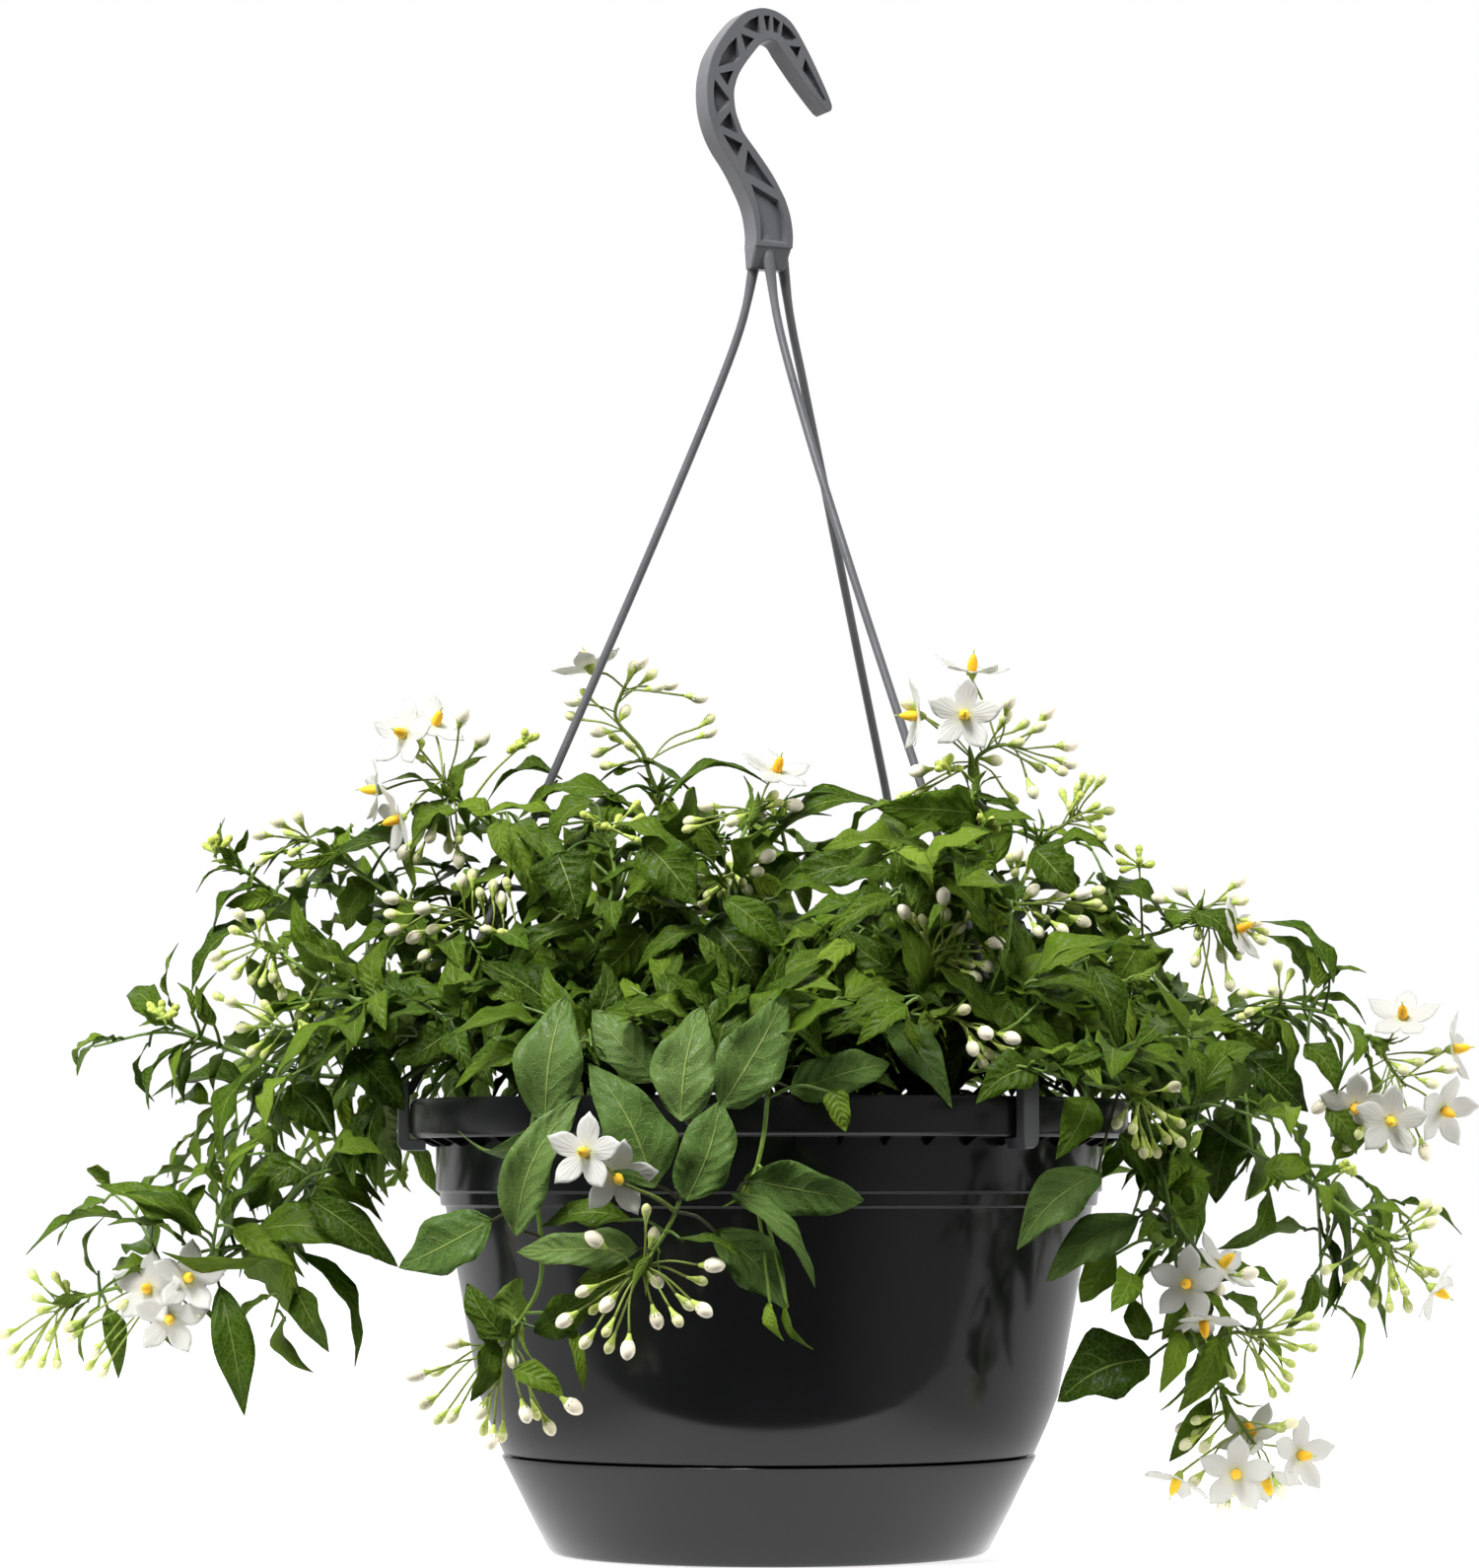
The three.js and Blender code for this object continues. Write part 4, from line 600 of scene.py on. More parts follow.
# %% Leaves placed one by one: [base x, height, tip x, height, depth, depth gained, width, roll]
LEAVES = [
    [-84, 160, -77, 209, -136, 6, 23, 6], [-95, 118, -72, 171, -140, -4, 19, 14],
    [-104, 124, -139, 106, -122, 14, 20, -18], [-49, 113, -95, 112, -150, 8, 14, -14],
    [-52, 124, -86, 124, -143, 2, 12, -38], [-41, 176, -67, 204, -132, 8, 18, -6],
    [-33, 161, -25, 205, -156, 14, 22, 4], [-20, 184, -7, 213, -140, 12, 13, 10],
    [-18, 166, 8, 210, -157, 14, 22, -8], [-31, 131, -18, 169, -163, 2, 21, 6],
    [-43, 136, -68, 183, -158, 10, 24, -4], [-68, 192, -84, 220, -112, 8, 12, 20],
    [-67, 196, -61, 223, -108, 12, 12, -20], [-38, 195, -34, 226, -118, 12, 9, 26],
    [-86, 190, -113, 184, -104, 2, 12, -22], [-92, 204, -108, 210, -84, 2, 10, -30],
    [-85, 162, -117, 156, -128, 22, 9, 58], [-120, 195, -141, 183, -60, 0, 14, -10],
    [-158, 187, -137, 165, -52, -4, 16, 14], [-180, 174, -163, 156, -20, -4, 17, 16],
    [8, 172, 46, 183, -134, 14, 17, 12], [24, 173, 29, 157, -146, -2, 9, 0],
    [-14, 134, 18, 99, -158, 6, 9, 40], [-20, 120, 8, 90, -154, 6, 18, 8],
    [-34, 117, -6, 103, -162, 4, 6, 62], [-8, 139, 36, 131, -154, 6, 19, -10],
    [-52, 108, -72, 101, -146, 4, 12, 20], [-98, 79, -114, 100, -138, 2, 12, 12],
    [-96, 86, -94, 103, -130, 0, 13, 150], [-88, 82, -60, 97, -136, -2, 13, -16],
    [-104, 80, -112, 56, -136, 2, 10, 30], [-96, 68, -77, 58, -140, -2, 10, 24],
    [-80, 262, -72, 237, -66, -6, 20, 0], [-66, 236, -103, 207, -62, 6, 10, -34],
    [-47, 233, -66, 214, -58, 4, 18, 14], [-24, 234, -52, 218, -66, -4, 9, -42],
    [-47, 266, -27, 242, -68, -8, 21, 2], [-17, 245, 7, 222, -72, -6, 13, 6],
    [-22, 236, 3, 207, -48, -6, 20, 16], [46, 257, 3, 251, -30, -6, 17, -22],
    [43, 281, -5, 262, -20, -2, 13, -52], [79, 277, 41, 278, -98, -2, 17, 24],
    [-38, 282, 0, 289, -12, 6, 10, 74], [-28, 287, -55, 262, -14, -10, 13, 44],
    [-31, 287, -68, 288, 8, 6, 8, -78], [-58, 284, -95, 276, -8, 0, 14, -60],
    [-66, 282, -82, 264, -28, -4, 12, -44], [-78, 290, -107, 285, -2, 4, 12, -74],
    [-119, 283, -108, 300, -16, 4, 8, 42], [-122, 281, -146, 289, -18, 0, 7, -74],
    [-118, 278, -135, 267, -20, -4, 14, -52], [-140, 267, -172, 246, -10, 4, 11, -62],
    [-148, 252, -161, 233, 0, 4, 13, -24], [-163, 262, -191, 255, -6, 6, 7, -80],
    [-188, 249, -210, 232, 22, -4, 10, -70], [-190, 236, -218, 210, 24, -6, 12, -52],
    [-202, 260, -207, 275, 22, 0, 4, 50], [-198, 255, -216, 247, 22, 0, 4, -78],
    [-206, 190, -226, 171, 8, -4, 8, -78], [-207, 190, -221, 168, 14, 4, 6, -80],
    [-212, 197, -210, 217, 6, -4, 6, 62], [-191, 181, -206, 147, 10, -6, 12, -42],
    [-232, 112, -203, 146, -18, 8, 10, 78], [-252, 103, -251, 126, -14, 0, 7, 72],
    [-248, 91, -243, 65, -16, -2, 9, 24], [-206, 99, -196, 51, -26, -4, 15, 12],
    [-198, 112, -179, 90, -30, -6, 20, 150], [-192, 120, -146, 113, -36, -6, 17, 32],
    [-173, 132, -140, 107, -46, -8, 14, 4], [-176, 112, -153, 70, -34, 4, 9, 52],
    [-212, 137, -220, 117, -12, 4, 10, -36], [-176, 146, -195, 127, -28, 4, 15, -22],
    [54, 214, 26, 234, -94, -2, 13, 2], [45, 203, 21, 192, -104, -2, 9, -24],
    [66, 198, 70, 173, -88, -2, 7, 12], [45, 197, 69, 166, -104, -16, 14, 10],
    [101, 181, 78, 168, -122, -4, 15, -20], [121, 170, 108, 147, -118, -6, 14, -10],
    [103, 206, 114, 184, -104, -4, 15, 8], [122, 220, 133, 187, -104, -6, 12, 14],
    [85, 206, 103, 189, -104, -4, 18, 12], [91, 208, 113, 181, -112, -2, 9, 22],
    [125, 142, 93, 113, -104, -2, 18, -14], [139, 125, 104, 101, -102, 2, 15, -14],
    [130, 112, 117, 93, -84, 4, 13, -22], [132, 156, 151, 128, -70, 2, 15, 20],
    [143, 72, 108, 57, -80, -2, 25, -22], [142, 79, 136, 95, -74, 4, 10, 16],
    [188, 136, 170, 112, -24, -2, 12, 46], [186, 142, 204, 143, -30, 0, 12, 34],
    [176, 165, 168, 130, -18, 4, 18, -18], [150, 135, 167, 142, -70, 4, 9, 40],
    [204, 137, 221, 142, -26, 2, 6, 50], [219, 121, 228, 97, -30, 0, 5, 40],
    [203, 213, 188, 231, -6, 4, 14, -52], [213, 213, 187, 238, -10, 8, 10, -56],
    [209, 211, 225, 218, -4, 0, 5, 60], [204, 206, 226, 200, -2, 2, 6, 60],
    [202, 190, 214, 171, -12, -4, 11, 26], [178, 188, 204, 165, -2, 2, 17, 18],
    [210, 166, 222, 149, -12, 0, 13, 20], [160, 240, 176, 222, 22, -6, 15, 42],
    [150, 237, 120, 246, 28, 0, 12, -60], [140, 230, 130, 212, -14, -6, 17, 8],
    [178, 199, 203, 192, 0, 4, 7, 56], [81, 282, 98, 266, -88, 2, 8, 68],
    [103, 267, 80, 269, 22, 0, 7, -74], [108, 265, 130, 260, 22, -2, 10, 60],
    [100, 264, 116, 247, 14, -6, 17, 20],
]

# Small leaves that take the depth of the shoot they grow on: [base x, height, tip x, height, width]
SMALL_LEAVES = [
    [6, 93, 15, 75, 4], [0, 93, 5, 79, 5], [-74, 84, -70, 60, 5], [52, 200, 66, 180, 5],
    [139, 184, 133, 174, 5], [157, 151, 167, 160, 9], [170, 197, 192, 188, 8], [153, 126, 166, 133, 6],
    [206, 136, 213, 127, 4], [207, 211, 203, 226, 6], [-163, 262, -184, 258, 5],
    [-187, 246, -205, 242, 8], [-209, 197, -216, 212, 6], [-217, 201, -223, 213, 4],
    [-202, 262, -197, 271, 4], [-180, 114, -176, 88, 6], [-190, 110, -228, 112, 8],
    [-162, 172, -158, 153, 6], [-152, 170, -152, 140, 8], [-66, 200, -55, 178, 9],
    [-33, 192, -32, 212, 8], [-90, 195, -105, 196, 9], [-108, 200, -118, 211, 8],
    [-118, 193, -103, 190, 8], [35, 219, 10, 219, 6], [-38, 283, -33, 262, 9], [-30, 272, -20, 258, 9],
    [-6, 252, 8, 245, 8], [70, 262, 86, 256, 10], [-105, 275, -118, 281, 8], [163, 190, 170, 178, 9],
]
print(len(LEAVES) + len(SMALL_LEAVES), "leaves placed one by one")

# %% Sprays: name, points of the stalk, buds [x, height] largest first, flowers [x, height, depth, facing]
SPRAYS = [
    ["spray_left_top", [[-120, 287, -16], [-124, 291, -18]],
     [[-116, 315], [-108, 306], [-138, 262], [-117, 259], [-128, 268], [-121, 264], [-133, 260],
      [-117, 267]],
     [[-138, 307, -24, -0.5, -0.8, 0.2], [-148, 286, -16, -1, -0.1, 0],
      [-140, 275, -26, -0.8, -0.3, -0.3], [-126, 311, -6, 0.3, -0.6, 0.7]]],
    ["spray_left_cluster", [[-90, 231, -22], [-107, 234, -28], [-117, 241, -32]],
     [[-143, 245], [-131, 241], [-142, 233], [-134, 230], [-116, 252], [-101, 245], [-130, 223],
      [-107, 233], [-127, 233], [-143, 239], [-112, 254], [-104, 250], [-109, 247], [-99, 251],
      [-101, 232], [-127, 219]],
     []],
    ["spray_airy", [[-45, 292, 10], [-48, 301, 8], [-58, 314, 6], [-54, 326, 6]],
     [[-48, 335], [-75, 320], [-26, 321], [-37, 326], [-22, 308], [-65, 308], [-42, 325], [-54, 316],
      [-65, 300], [-51, 333], [-44, 330], [-75, 314], [-22, 313], [-53, 303], [-62, 295], [-57, 293],
      [-59, 306], [-70, 323]],
     [[-68, 333, 4, -0.3, 0.2, 0.9]]],
    ["spray_crown", [[-5, 279, -32], [-2, 283, -32]],
     [[10, 280], [-24, 280], [-3, 276], [-14, 274], [-30, 274], [2, 284], [-31, 271], [4, 281]],
     [[3, 293, -34, 0.25, -0.5, 0.8]]],
    ["spray_centre", [[-13, 254, -38], [-17, 253, -52]],
     [[0, 261], [-29, 252], [-26, 241], [-14, 260], [-4, 255], [-15, 243], [-8, 248], [-30, 245],
      [-23, 246], [-14, 247], [-10, 251], [-18, 246]],
     []],
    ["spray_top_right", [[79, 291, -86], [79, 298, -86], [88, 303, -84], [98, 301, -82]],
     [[114, 303], [106, 316], [91, 320], [56, 293], [114, 296], [100, 285], [86, 297], [103, 310],
      [90, 314], [52, 319], [111, 293], [95, 304], [57, 285], [103, 294], [97, 311], [50, 283],
      [93, 282]],
     [[77, 331, -82, 0.1, -0.2, 1], [74, 314, -94, 0, -1, 0.1], [56, 314, -90, -1, -0.2, 0]]],
    ["spray_young_right", [[105, 269, 26], [112, 273, 25], [118, 278, 24]],
     [[119, 291], [129, 278], [126, 290], [126, 268], [111, 285], [114, 280], [122, 275], [122, 290],
      [117, 287], [124, 280], [126, 271], [125, 276], [118, 284]],
     []],
    ["spray_left_buds", [[-187, 227, -40], [-194, 229, -38]],
     [[-209, 223], [-200, 239], [-192, 238], [-183, 208], [-201, 216], [-187, 215], [-202, 233],
      [-207, 219], [-195, 214], [-178, 217], [-191, 213], [-185, 212]],
     []],
    ["spray_left_lower", [[-180, 197, -46], [-187, 197, -48]],
     [[-203, 206], [-173, 195], [-199, 196], [-193, 201], [-177, 201], [-195, 187], [-176, 192],
      [-190, 205], [-190, 186], [-208, 208], [-172, 205]],
     []],
    ["spray_left_wisp", [[-168, 264, -8], [-175, 268, -8]],
     [[-193, 269], [-186, 274], [-192, 259], [-178, 276], [-177, 251], [-180, 262], [-182, 270]],
     []],
    ["spray_right_middle", [[62, 224, -99], [67, 226, -103]],
     [[66, 246], [78, 241], [86, 228], [51, 240], [83, 219], [78, 215], [72, 234], [86, 225], [67, 239],
      [58, 237], [76, 220], [70, 220], [54, 238]],
     []],
    ["spray_right_middle_low", [[66, 201, -110], [76, 197, -114]],
     [[82, 194], [92, 192], [77, 188], [93, 186], [81, 182], [74, 203], [83, 186], [86, 183], [90, 187]],
     []],
    ["spray_right_inner", [[94, 243, 22], [104, 243, 8]],
     [[119, 247], [111, 246], [100, 248], [119, 236], [94, 262], [111, 233], [102, 232], [99, 260],
      [125, 248], [124, 243], [91, 260], [93, 255], [105, 237], [126, 241]],
     []],
    ["spray_right_upper", [[161, 240, 28], [166, 241, 26], [168, 234, 22]],
     [[178, 252], [155, 249], [184, 236], [174, 246], [171, 223], [147, 245], [174, 212], [161, 221],
      [179, 244], [186, 229], [162, 231], [143, 241], [187, 232], [163, 207], [168, 206], [177, 223]],
     [[177, 233, 22, 0.7, -0.4, 0.3]]],
    ["spray_right_knot", [[193, 206, -6], [193, 210, -12]],
     [[190, 210], [179, 209], [191, 203], [192, 220], [181, 202], [197, 217], [178, 200]],
     []],
    ["spray_right_arch", [[231, 187, -9], [235, 180, -10], [240, 174, -10]],
     [[207, 166], [247, 149], [257, 181], [238, 152], [218, 152], [250, 175], [239, 180], [231, 151],
      [245, 183], [222, 156], [242, 153], [252, 187]],
     [[239, 200, -10, -0.1, -0.6, 0.6], [221, 166, -14, -0.2, -0.9, -0.2], [234, 161, -22, 0, -1, -0.1],
      [254, 165, -12, 0.5, -0.7, -0.3], [258, 188, -4, 0.9, -0.3, 0.1]]],
    ["spray_right_low", [[231, 116, -28], [236, 108, -28]],
     [[247, 130], [251, 128], [249, 123], [242, 114], [209, 105], [250, 104], [240, 91], [227, 93],
      [221, 103], [246, 104], [233, 91], [217, 102], [239, 97], [235, 99], [234, 103]],
     [[250, 98, -26, 0.8, -0.2, -0.5]]],
    ["spray_hanging_upper", [[155, 113, -76], [160, 108, -78], [163, 100, -80]],
     [[181, 104], [169, 98], [158, 90], [163, 105]],
     [[157, 100, -94, -0.2, -1, 0], [170, 107, -82, 0.6, -0.4, 0.6], [163, 86, -84, 0.1, -0.3, -0.9]]],
    ["spray_hanging_young", [[167, 79, -75], [176, 82, -74], [184, 79, -72]],
     [[204, 76], [205, 84], [193, 100], [196, 89], [195, 65], [177, 61], [189, 59], [196, 82], [203, 88],
      [196, 96], [197, 76], [185, 69], [196, 70], [190, 80], [174, 66], [194, 61]],
     []],
    ["spray_hanging_low", [[172, 55, -74], [178, 46, -74], [183, 39, -74]],
     [[170, 16], [155, 46], [192, 22], [179, 17], [159, 26], [156, 40], [196, 48], [163, 39], [168, 24],
      [174, 23], [160, 49], [192, 46], [160, 44], [177, 21]],
     [[199, 36, -76, 0.6, -0.8, 0], [175, 29, -84, -0.1, -1, 0], [153, 27, -76, -0.4, -0.2, -0.9],
      [186, 27, -70, 0.2, -0.4, -0.8], [181, 44, -68, -0.4, -0.5, 0.7]]],
    ["spray_left_low", [[-263, 93, -12], [-268, 89, -12]],
     [[-287, 81], [-277, 104], [-281, 70], [-267, 70], [-284, 75], [-275, 95], [-268, 103], [-278, 73],
      [-270, 80], [-273, 90], [-264, 100], [-273, 70]],
     []],
    ["spray_left_low_flowers", [[-228, 100, -20], [-230, 96, -22]],
     [[-240, 90], [-263, 80], [-254, 74], [-214, 89], [-243, 92], [-250, 67], [-263, 84], [-255, 69]],
     [[-233, 98, -28, -0.2, -1, 0.1], [-218, 102, -30, 0.2, -1, 0.2], [-225, 87, -30, 0.1, -1, -0.1]]],
    ["spray_front_flowers", [[-42, 132, -158], [-56, 138, -162]],
     [],
     [[-69, 149, -168, -0.3, -0.9, 0.1], [-57, 140, -160, 0.2, -0.9, -0.3]]],
    ["spray_front_hanging", [[-48, 106, -154], [-51, 104, -156]],
     [[-20, 107], [-66, 117], [-53, 75], [-77, 86], [-24, 90], [-61, 92], [-42, 86], [-42, 101],
      [-69, 78], [-43, 119], [-70, 97], [-30, 92], [-34, 86], [-60, 76], [-25, 101], [-46, 128],
      [-61, 82], [-66, 90]],
     []],
    ["spray_front_left", [[-97, 79, -132], [-99, 71, -134]],
     [[-133, 66], [-73, 54], [-119, 78], [-104, 41], [-91, 51], [-108, 52], [-96, 71], [-82, 46],
      [-129, 55], [-119, 50], [-125, 67], [-100, 43], [-107, 45], [-124, 49], [-87, 51]],
     []],
    ["spray_right_front", [[139, 171, -99], [141, 169, -101]],
     [[153, 174], [131, 160], [155, 153], [137, 158], [146, 149], [141, 149], [155, 160], [148, 163],
      [150, 154], [138, 152], [143, 149]],
     []],
]

# Groups of tiny green buds at the tips of shoots: [x, height, how far they spread]
YOUNG_TIPS = [
    [140, 257, 8], [-133, 299, 5], [-93, 303, 5], [-59, 271, 12], [-228, 200, 6], [-209, 262, 6],
    [68, 294, 4], [83, 272, 4], [218, 143, 3],
]
print(len(SPRAYS), "sprays and", len(YOUNG_TIPS), "groups of tiny buds")

# %% [markdown]
# ## Stems as tubes
# A stem runs smoothly through its points. Rings of points are set square to the run, each turned on
# from the last one so that the tube never twists, and are joined into quads. All organs of a shoot go
# into one list of points and faces, because a mesh of some thousand points is quick to make that way,
# and each point remembers a few numbers that its finish reads: how young it is, which face of a
# blade it lies on, and a draw of its own.

# %% Smooth runs in space


def unit(vector):
    return vector / np.linalg.norm(vector)


def curve_through(points, step):
    run = []
    for a, b, c, d in spans(points):
        first, middle, last = (np.linalg.norm(q - p) ** 0.5 for p, q in ((a, b), (b, c), (c, d)))
        leave = ((b - a) / first - (c - a) / (first + middle) + (c - b) / middle) * middle
        arrive = ((c - b) / middle - (d - b) / (middle + last) + (d - c) / last) * middle
        pieces = max(2, round(np.linalg.norm(c - b) / step))
        for index in range(pieces):
            t = index / pieces
            run.append(b + leave * t + (3 * (c - b) - 2 * leave - arrive) * t * t
                       + (leave + arrive - 2 * (c - b)) * t ** 3)
    return np.array(run + [np.array(points[-1], float)])


print("a run over 20 mm at steps of 1.5 mm has", len(curve_through([[0, 0, 0], [20, 0, 0]], 1.5)), "places")

# %% The organs' common list
KEPT = ("age_and_sheen", "under", "draw")
STEM, BLADE = 0, 1


def new_body():
    return {"count": 0} | {key: [] for key in ("points", "faces", "finish", "blade", *KEPT)}


def put(body, points, faces, finish, blade=None, age_and_sheen=0.0, under=0.0, draw=0.5):
    count = len(points)
    body["points"].append(points)
    body["faces"].append([tuple(corner + body["count"] for corner in face) for face in faces])
    body["finish"].append([finish] * len(faces))
    body["blade"].append(np.zeros((count, 2)) if blade is None else blade)
    for key, value in zip(KEPT, (age_and_sheen, under, draw)):
        body[key].append(np.broadcast_to(np.asarray(value, float), (count,)))
    body["count"] += count


print("each point keeps its", ", ".join(KEPT))

# %% Tubes


def square_to(run, hint):
    side = hint - run * np.dot(hint, run)
    if np.dot(side, side) < 0.02:
        side = np.array([run[2], run[0], run[1]])
        side = side - run * np.dot(side, run)
    side = unit(side)
    return side, np.cross(run, side)


def put_tube(body, run, radii, sides, finish, age_and_sheen=0.0, draw=0.5):
    run = np.asarray(run)
    ways = np.gradient(run, axis=0)
    hint = np.array([0.1, 1.0, 0.2])
    rings = []
    for centre, way, radius in zip(run, ways, radii):
        side, face = square_to(unit(way), hint)
        hint = side
        turn = np.arange(sides) * 2 * math.pi / sides
        rings.append(centre + radius * (np.outer(np.cos(turn), side) + np.outer(np.sin(turn), face)))
    points = np.concatenate(rings)
    last = len(rings) - 1
    faces = [(ring * sides + at, ring * sides + (at + 1) % sides, (ring + 1) * sides + (at + 1) % sides,
              (ring + 1) * sides + at) for ring in range(last) for at in range(sides)]
    faces += [tuple(range(sides - 1, -1, -1)), tuple(last * sides + at for at in range(sides))]
    blade = np.repeat(np.column_stack([np.full(last + 1, 0.5), np.linspace(0, 1, last + 1)]), sides, axis=0)
    put(body, points, faces, finish, blade, age_and_sheen, 0.0, draw)


def put_turned(body, start, way, profile, sides, finish, age_and_sheen, draw=0.5):
    places, radii = zip(*profile)
    put_tube(body, [start + way * place for place in places], radii, sides, finish, age_and_sheen, draw)


sample = new_body()
put_turned(sample, np.zeros(3), np.array([0, 0, 1]), [(0, 1), (1, 1), (2, 1)], 6, STEM, 0.0)
print("a six-sided tube of three rings has", len(sample["faces"][0]), "faces")

# %% From the list to a piece


def made_body(body, name, finishes):
    mesh = bpy.data.meshes.new(name)
    points = np.concatenate(body["points"])
    faces = [face for group in body["faces"] for face in group]
    mesh.from_pydata([placed(point) for point in points], [], faces)
    mesh.polygons.foreach_set("material_index", [index for group in body["finish"] for index in group])
    mesh.polygons.foreach_set("use_smooth", [True] * len(faces))
    corners = np.empty(len(mesh.loops), dtype=np.int32)
    mesh.loops.foreach_get("vertex_index", corners)
    layer = mesh.uv_layers.new(name="blade")
    layer.data.foreach_set("uv", np.concatenate(body["blade"])[corners].ravel())
    for key in KEPT:
        kept = mesh.attributes.new(key, "FLOAT", "POINT")
        kept.data.foreach_set("value", np.concatenate(body[key]))
    for finish in finishes:
        mesh.materials.append(finish)
    mesh.validate()
    return added(name, mesh)


print("a piece made so is mapped over its blades, and tells its finish", len(KEPT), "numbers a point")

# %% [markdown]
# ## A leaf
# The leaf of a potato vine is a long oval that runs out to a drawn point. It is folded a little along
# its midrib, arches backwards over its length, and its edge rises and falls in two or three lazy
# waves. A blade is a small grid bent to those rules, once for the upper and once for the lower face,
# closed along the edge, so that it has a thickness to catch the light. Operators can bend one grid,
# but not some 1,700, each to a place and size of its own, so the rules are written as sums.

# %% The blade's grid


def blade_grid(long, wide):
    faces = []
    row = wide + 1
    under = (long + 1) * row
    for at in range(long):
        for across in range(wide):
            a, b = at * row + across, at * row + across + 1
            c, d = b + row, a + row
            faces += [(a, b, c, d), (under + a, under + d, under + c, under + b)]
        for across, flip in ((0, False), (wide, True)):
            a, d = at * row + across, (at + 1) * row + across
            edge = (a, d, under + d, under + a)
            faces.append(edge[::-1] if flip else edge)
    for at, flip in ((0, True), (long, False)):
        for across in range(wide):
            a, b = at * row + across, at * row + across + 1
            end = (a, b, under + b, under + a)
            faces.append(end[::-1] if not flip else end)
    return faces


LONG_BLADE, MIDDLE_BLADE = 38, 22
FINE, MIDDLING, COARSE = (14, 6), (12, 4), (8, 4)
GRIDS = {size: blade_grid(*size) for size in (FINE, MIDDLING, COARSE)}
print("blade grids:", {size: len(faces) for size, faces in GRIDS.items()}, "faces")

# %% The blade's outline and relief
BLADE_FOLD, EDGE_WAVE, BLADE_THICKNESS = 0.25, 0.24, 0.34


def leaf_into(body, root, base, tip, normal, width, arch, age_and_sheen, draw, curl=0.05):
    run = tip - base
    length = np.linalg.norm(run)
    run = run / length
    face = square_to(run, np.asarray(normal, float))[0]
    side = np.cross(face, run)
    size = FINE if length > LONG_BLADE else MIDDLING if length > MIDDLE_BLADE else COARSE
    long, wide = size
    waves, phase, lean = draw(1.6, 2.9), draw(0, 6.28), draw(-0.14, 0.14)
    ears = max(0.0, draw(-0.7, 0.45)), max(0.0, draw(-0.7, 0.45))
    fullness, bluntness = draw(0.62, 0.8), draw(0.72, 0.96)
    fold, curl = BLADE_FOLD * draw(0.5, 1.7), curl + draw(-0.08, 0.08)
    along = np.linspace(0, 1, long + 1)
    half = width / 2 * np.sin(math.pi * along ** fullness) ** bluntness
    half = np.maximum(half, np.where(along < 0.5, 0.5, 0.08))
    across = np.linspace(-1, 1, wide + 1)
    t, v = np.meshgrid(along, across, indexing="ij")
    ear = np.where(v < 0, ears[0], ears[1]) * np.exp(-((t - 0.2) / 0.1) ** 2)
    h = half[:, None] * (1 + (ear + 0.05 * np.sin(11 * t + phase * v)) * np.abs(v))
    wave = np.sin(2 * math.pi * waves * t + phase + 0.9 * v) + 0.4 * np.sin(12 * t + 2 * phase * v)
    ripple = 0.04 * np.sin(2 * math.pi * 3 * t + phase) * (1 - np.abs(v)) * np.abs(v) * 2
    lift = h * (fold * np.abs(v) ** 1.3 + EDGE_WAVE * wave * v * v + ripple)
    lift = lift + arch * length * np.sin(math.pi * t) - curl * length * t ** 2
    sway = lean * length * np.sin(math.pi * t) * 0.6
    aside = h * v * (1 + 0.08 * np.sin(9 * t + phase)) + sway
    top = base + run * (t * length)[..., None] + side * aside[..., None] + face * lift[..., None]
    top = top.reshape(-1, 3)
    thick = (BLADE_THICKNESS * (1 - 0.75 * np.abs(v) ** 3)).reshape(-1, 1)
    points = np.concatenate([top, top - face * thick])
    blade = np.column_stack([(v.ravel() + 1) / 2, t.ravel()])
    under = np.concatenate([np.zeros(len(top)), np.ones(len(top))])
    put(body, points, GRIDS[size], BLADE, np.concatenate([blade, blade]), age_and_sheen, under, draw(0, 1))
    bend = root + (base - root) * 0.5 + np.array([0, 0, 0.12 * np.linalg.norm(base - root)])
    joint = top[wide // 2] + run * min(2.0, 0.1 * length) - face * 0.2
    stalk = curve_through([root, bend, joint], 3)
    put_tube(body, stalk, np.linspace(0.75, 0.5, len(stalk)), 6, STEM, age_and_sheen)


print("a blade is", BLADE_THICKNESS, "mm thick at its midrib")

# %% [markdown]
# ## What makes a leaf look alive
# A blade is waxy above and dull and paler below. Its midrib and some six pairs of side veins are
# lighter, sunk a little above and raised below. Young blades are yellow-green and old ones a deep
# green. The broad old blades in front are painted a lighter grey green, a painted sheen that stands
# in for the shine on them, and light falls through the thin tissue as a warm yellow green. The blade's
# own map gives across and along, so the veins follow each leaf wherever it points. The net between the
# veins is finer on the plant, about a millimetre, and is drawn at 1.9 mm so that it shows.

# %% Leaf finish: midrib and side veins
VEIN_PAIRS, WANDER_MM = 7.0, 9
leaf = new_finish("living_leaf_waxy_above")
split = add_node(leaf, "SeparateXYZ", Vector=add_node(leaf, "UVMap", uv_map="blade"))
age_and_sheen, under, own = (add_node(leaf, "Attribute", attribute_name=key).outputs["Fac"] for key in KEPT)
where = add_node(leaf, "TexCoord").outputs["Object"]

# The midrib, and how far each point lies from it
off_rib = add_node(leaf, "Math", operation="SUBTRACT", i0=split.outputs[0], i1=0.5)
off_rib = add_node(leaf, "Math", operation="ABSOLUTE", i0=off_rib)
midrib = add_node(leaf, "MapRange", **SMOOTH, Value=off_rib, i1=0.006, i2=0.026, i3=1.0, i4=0.0)

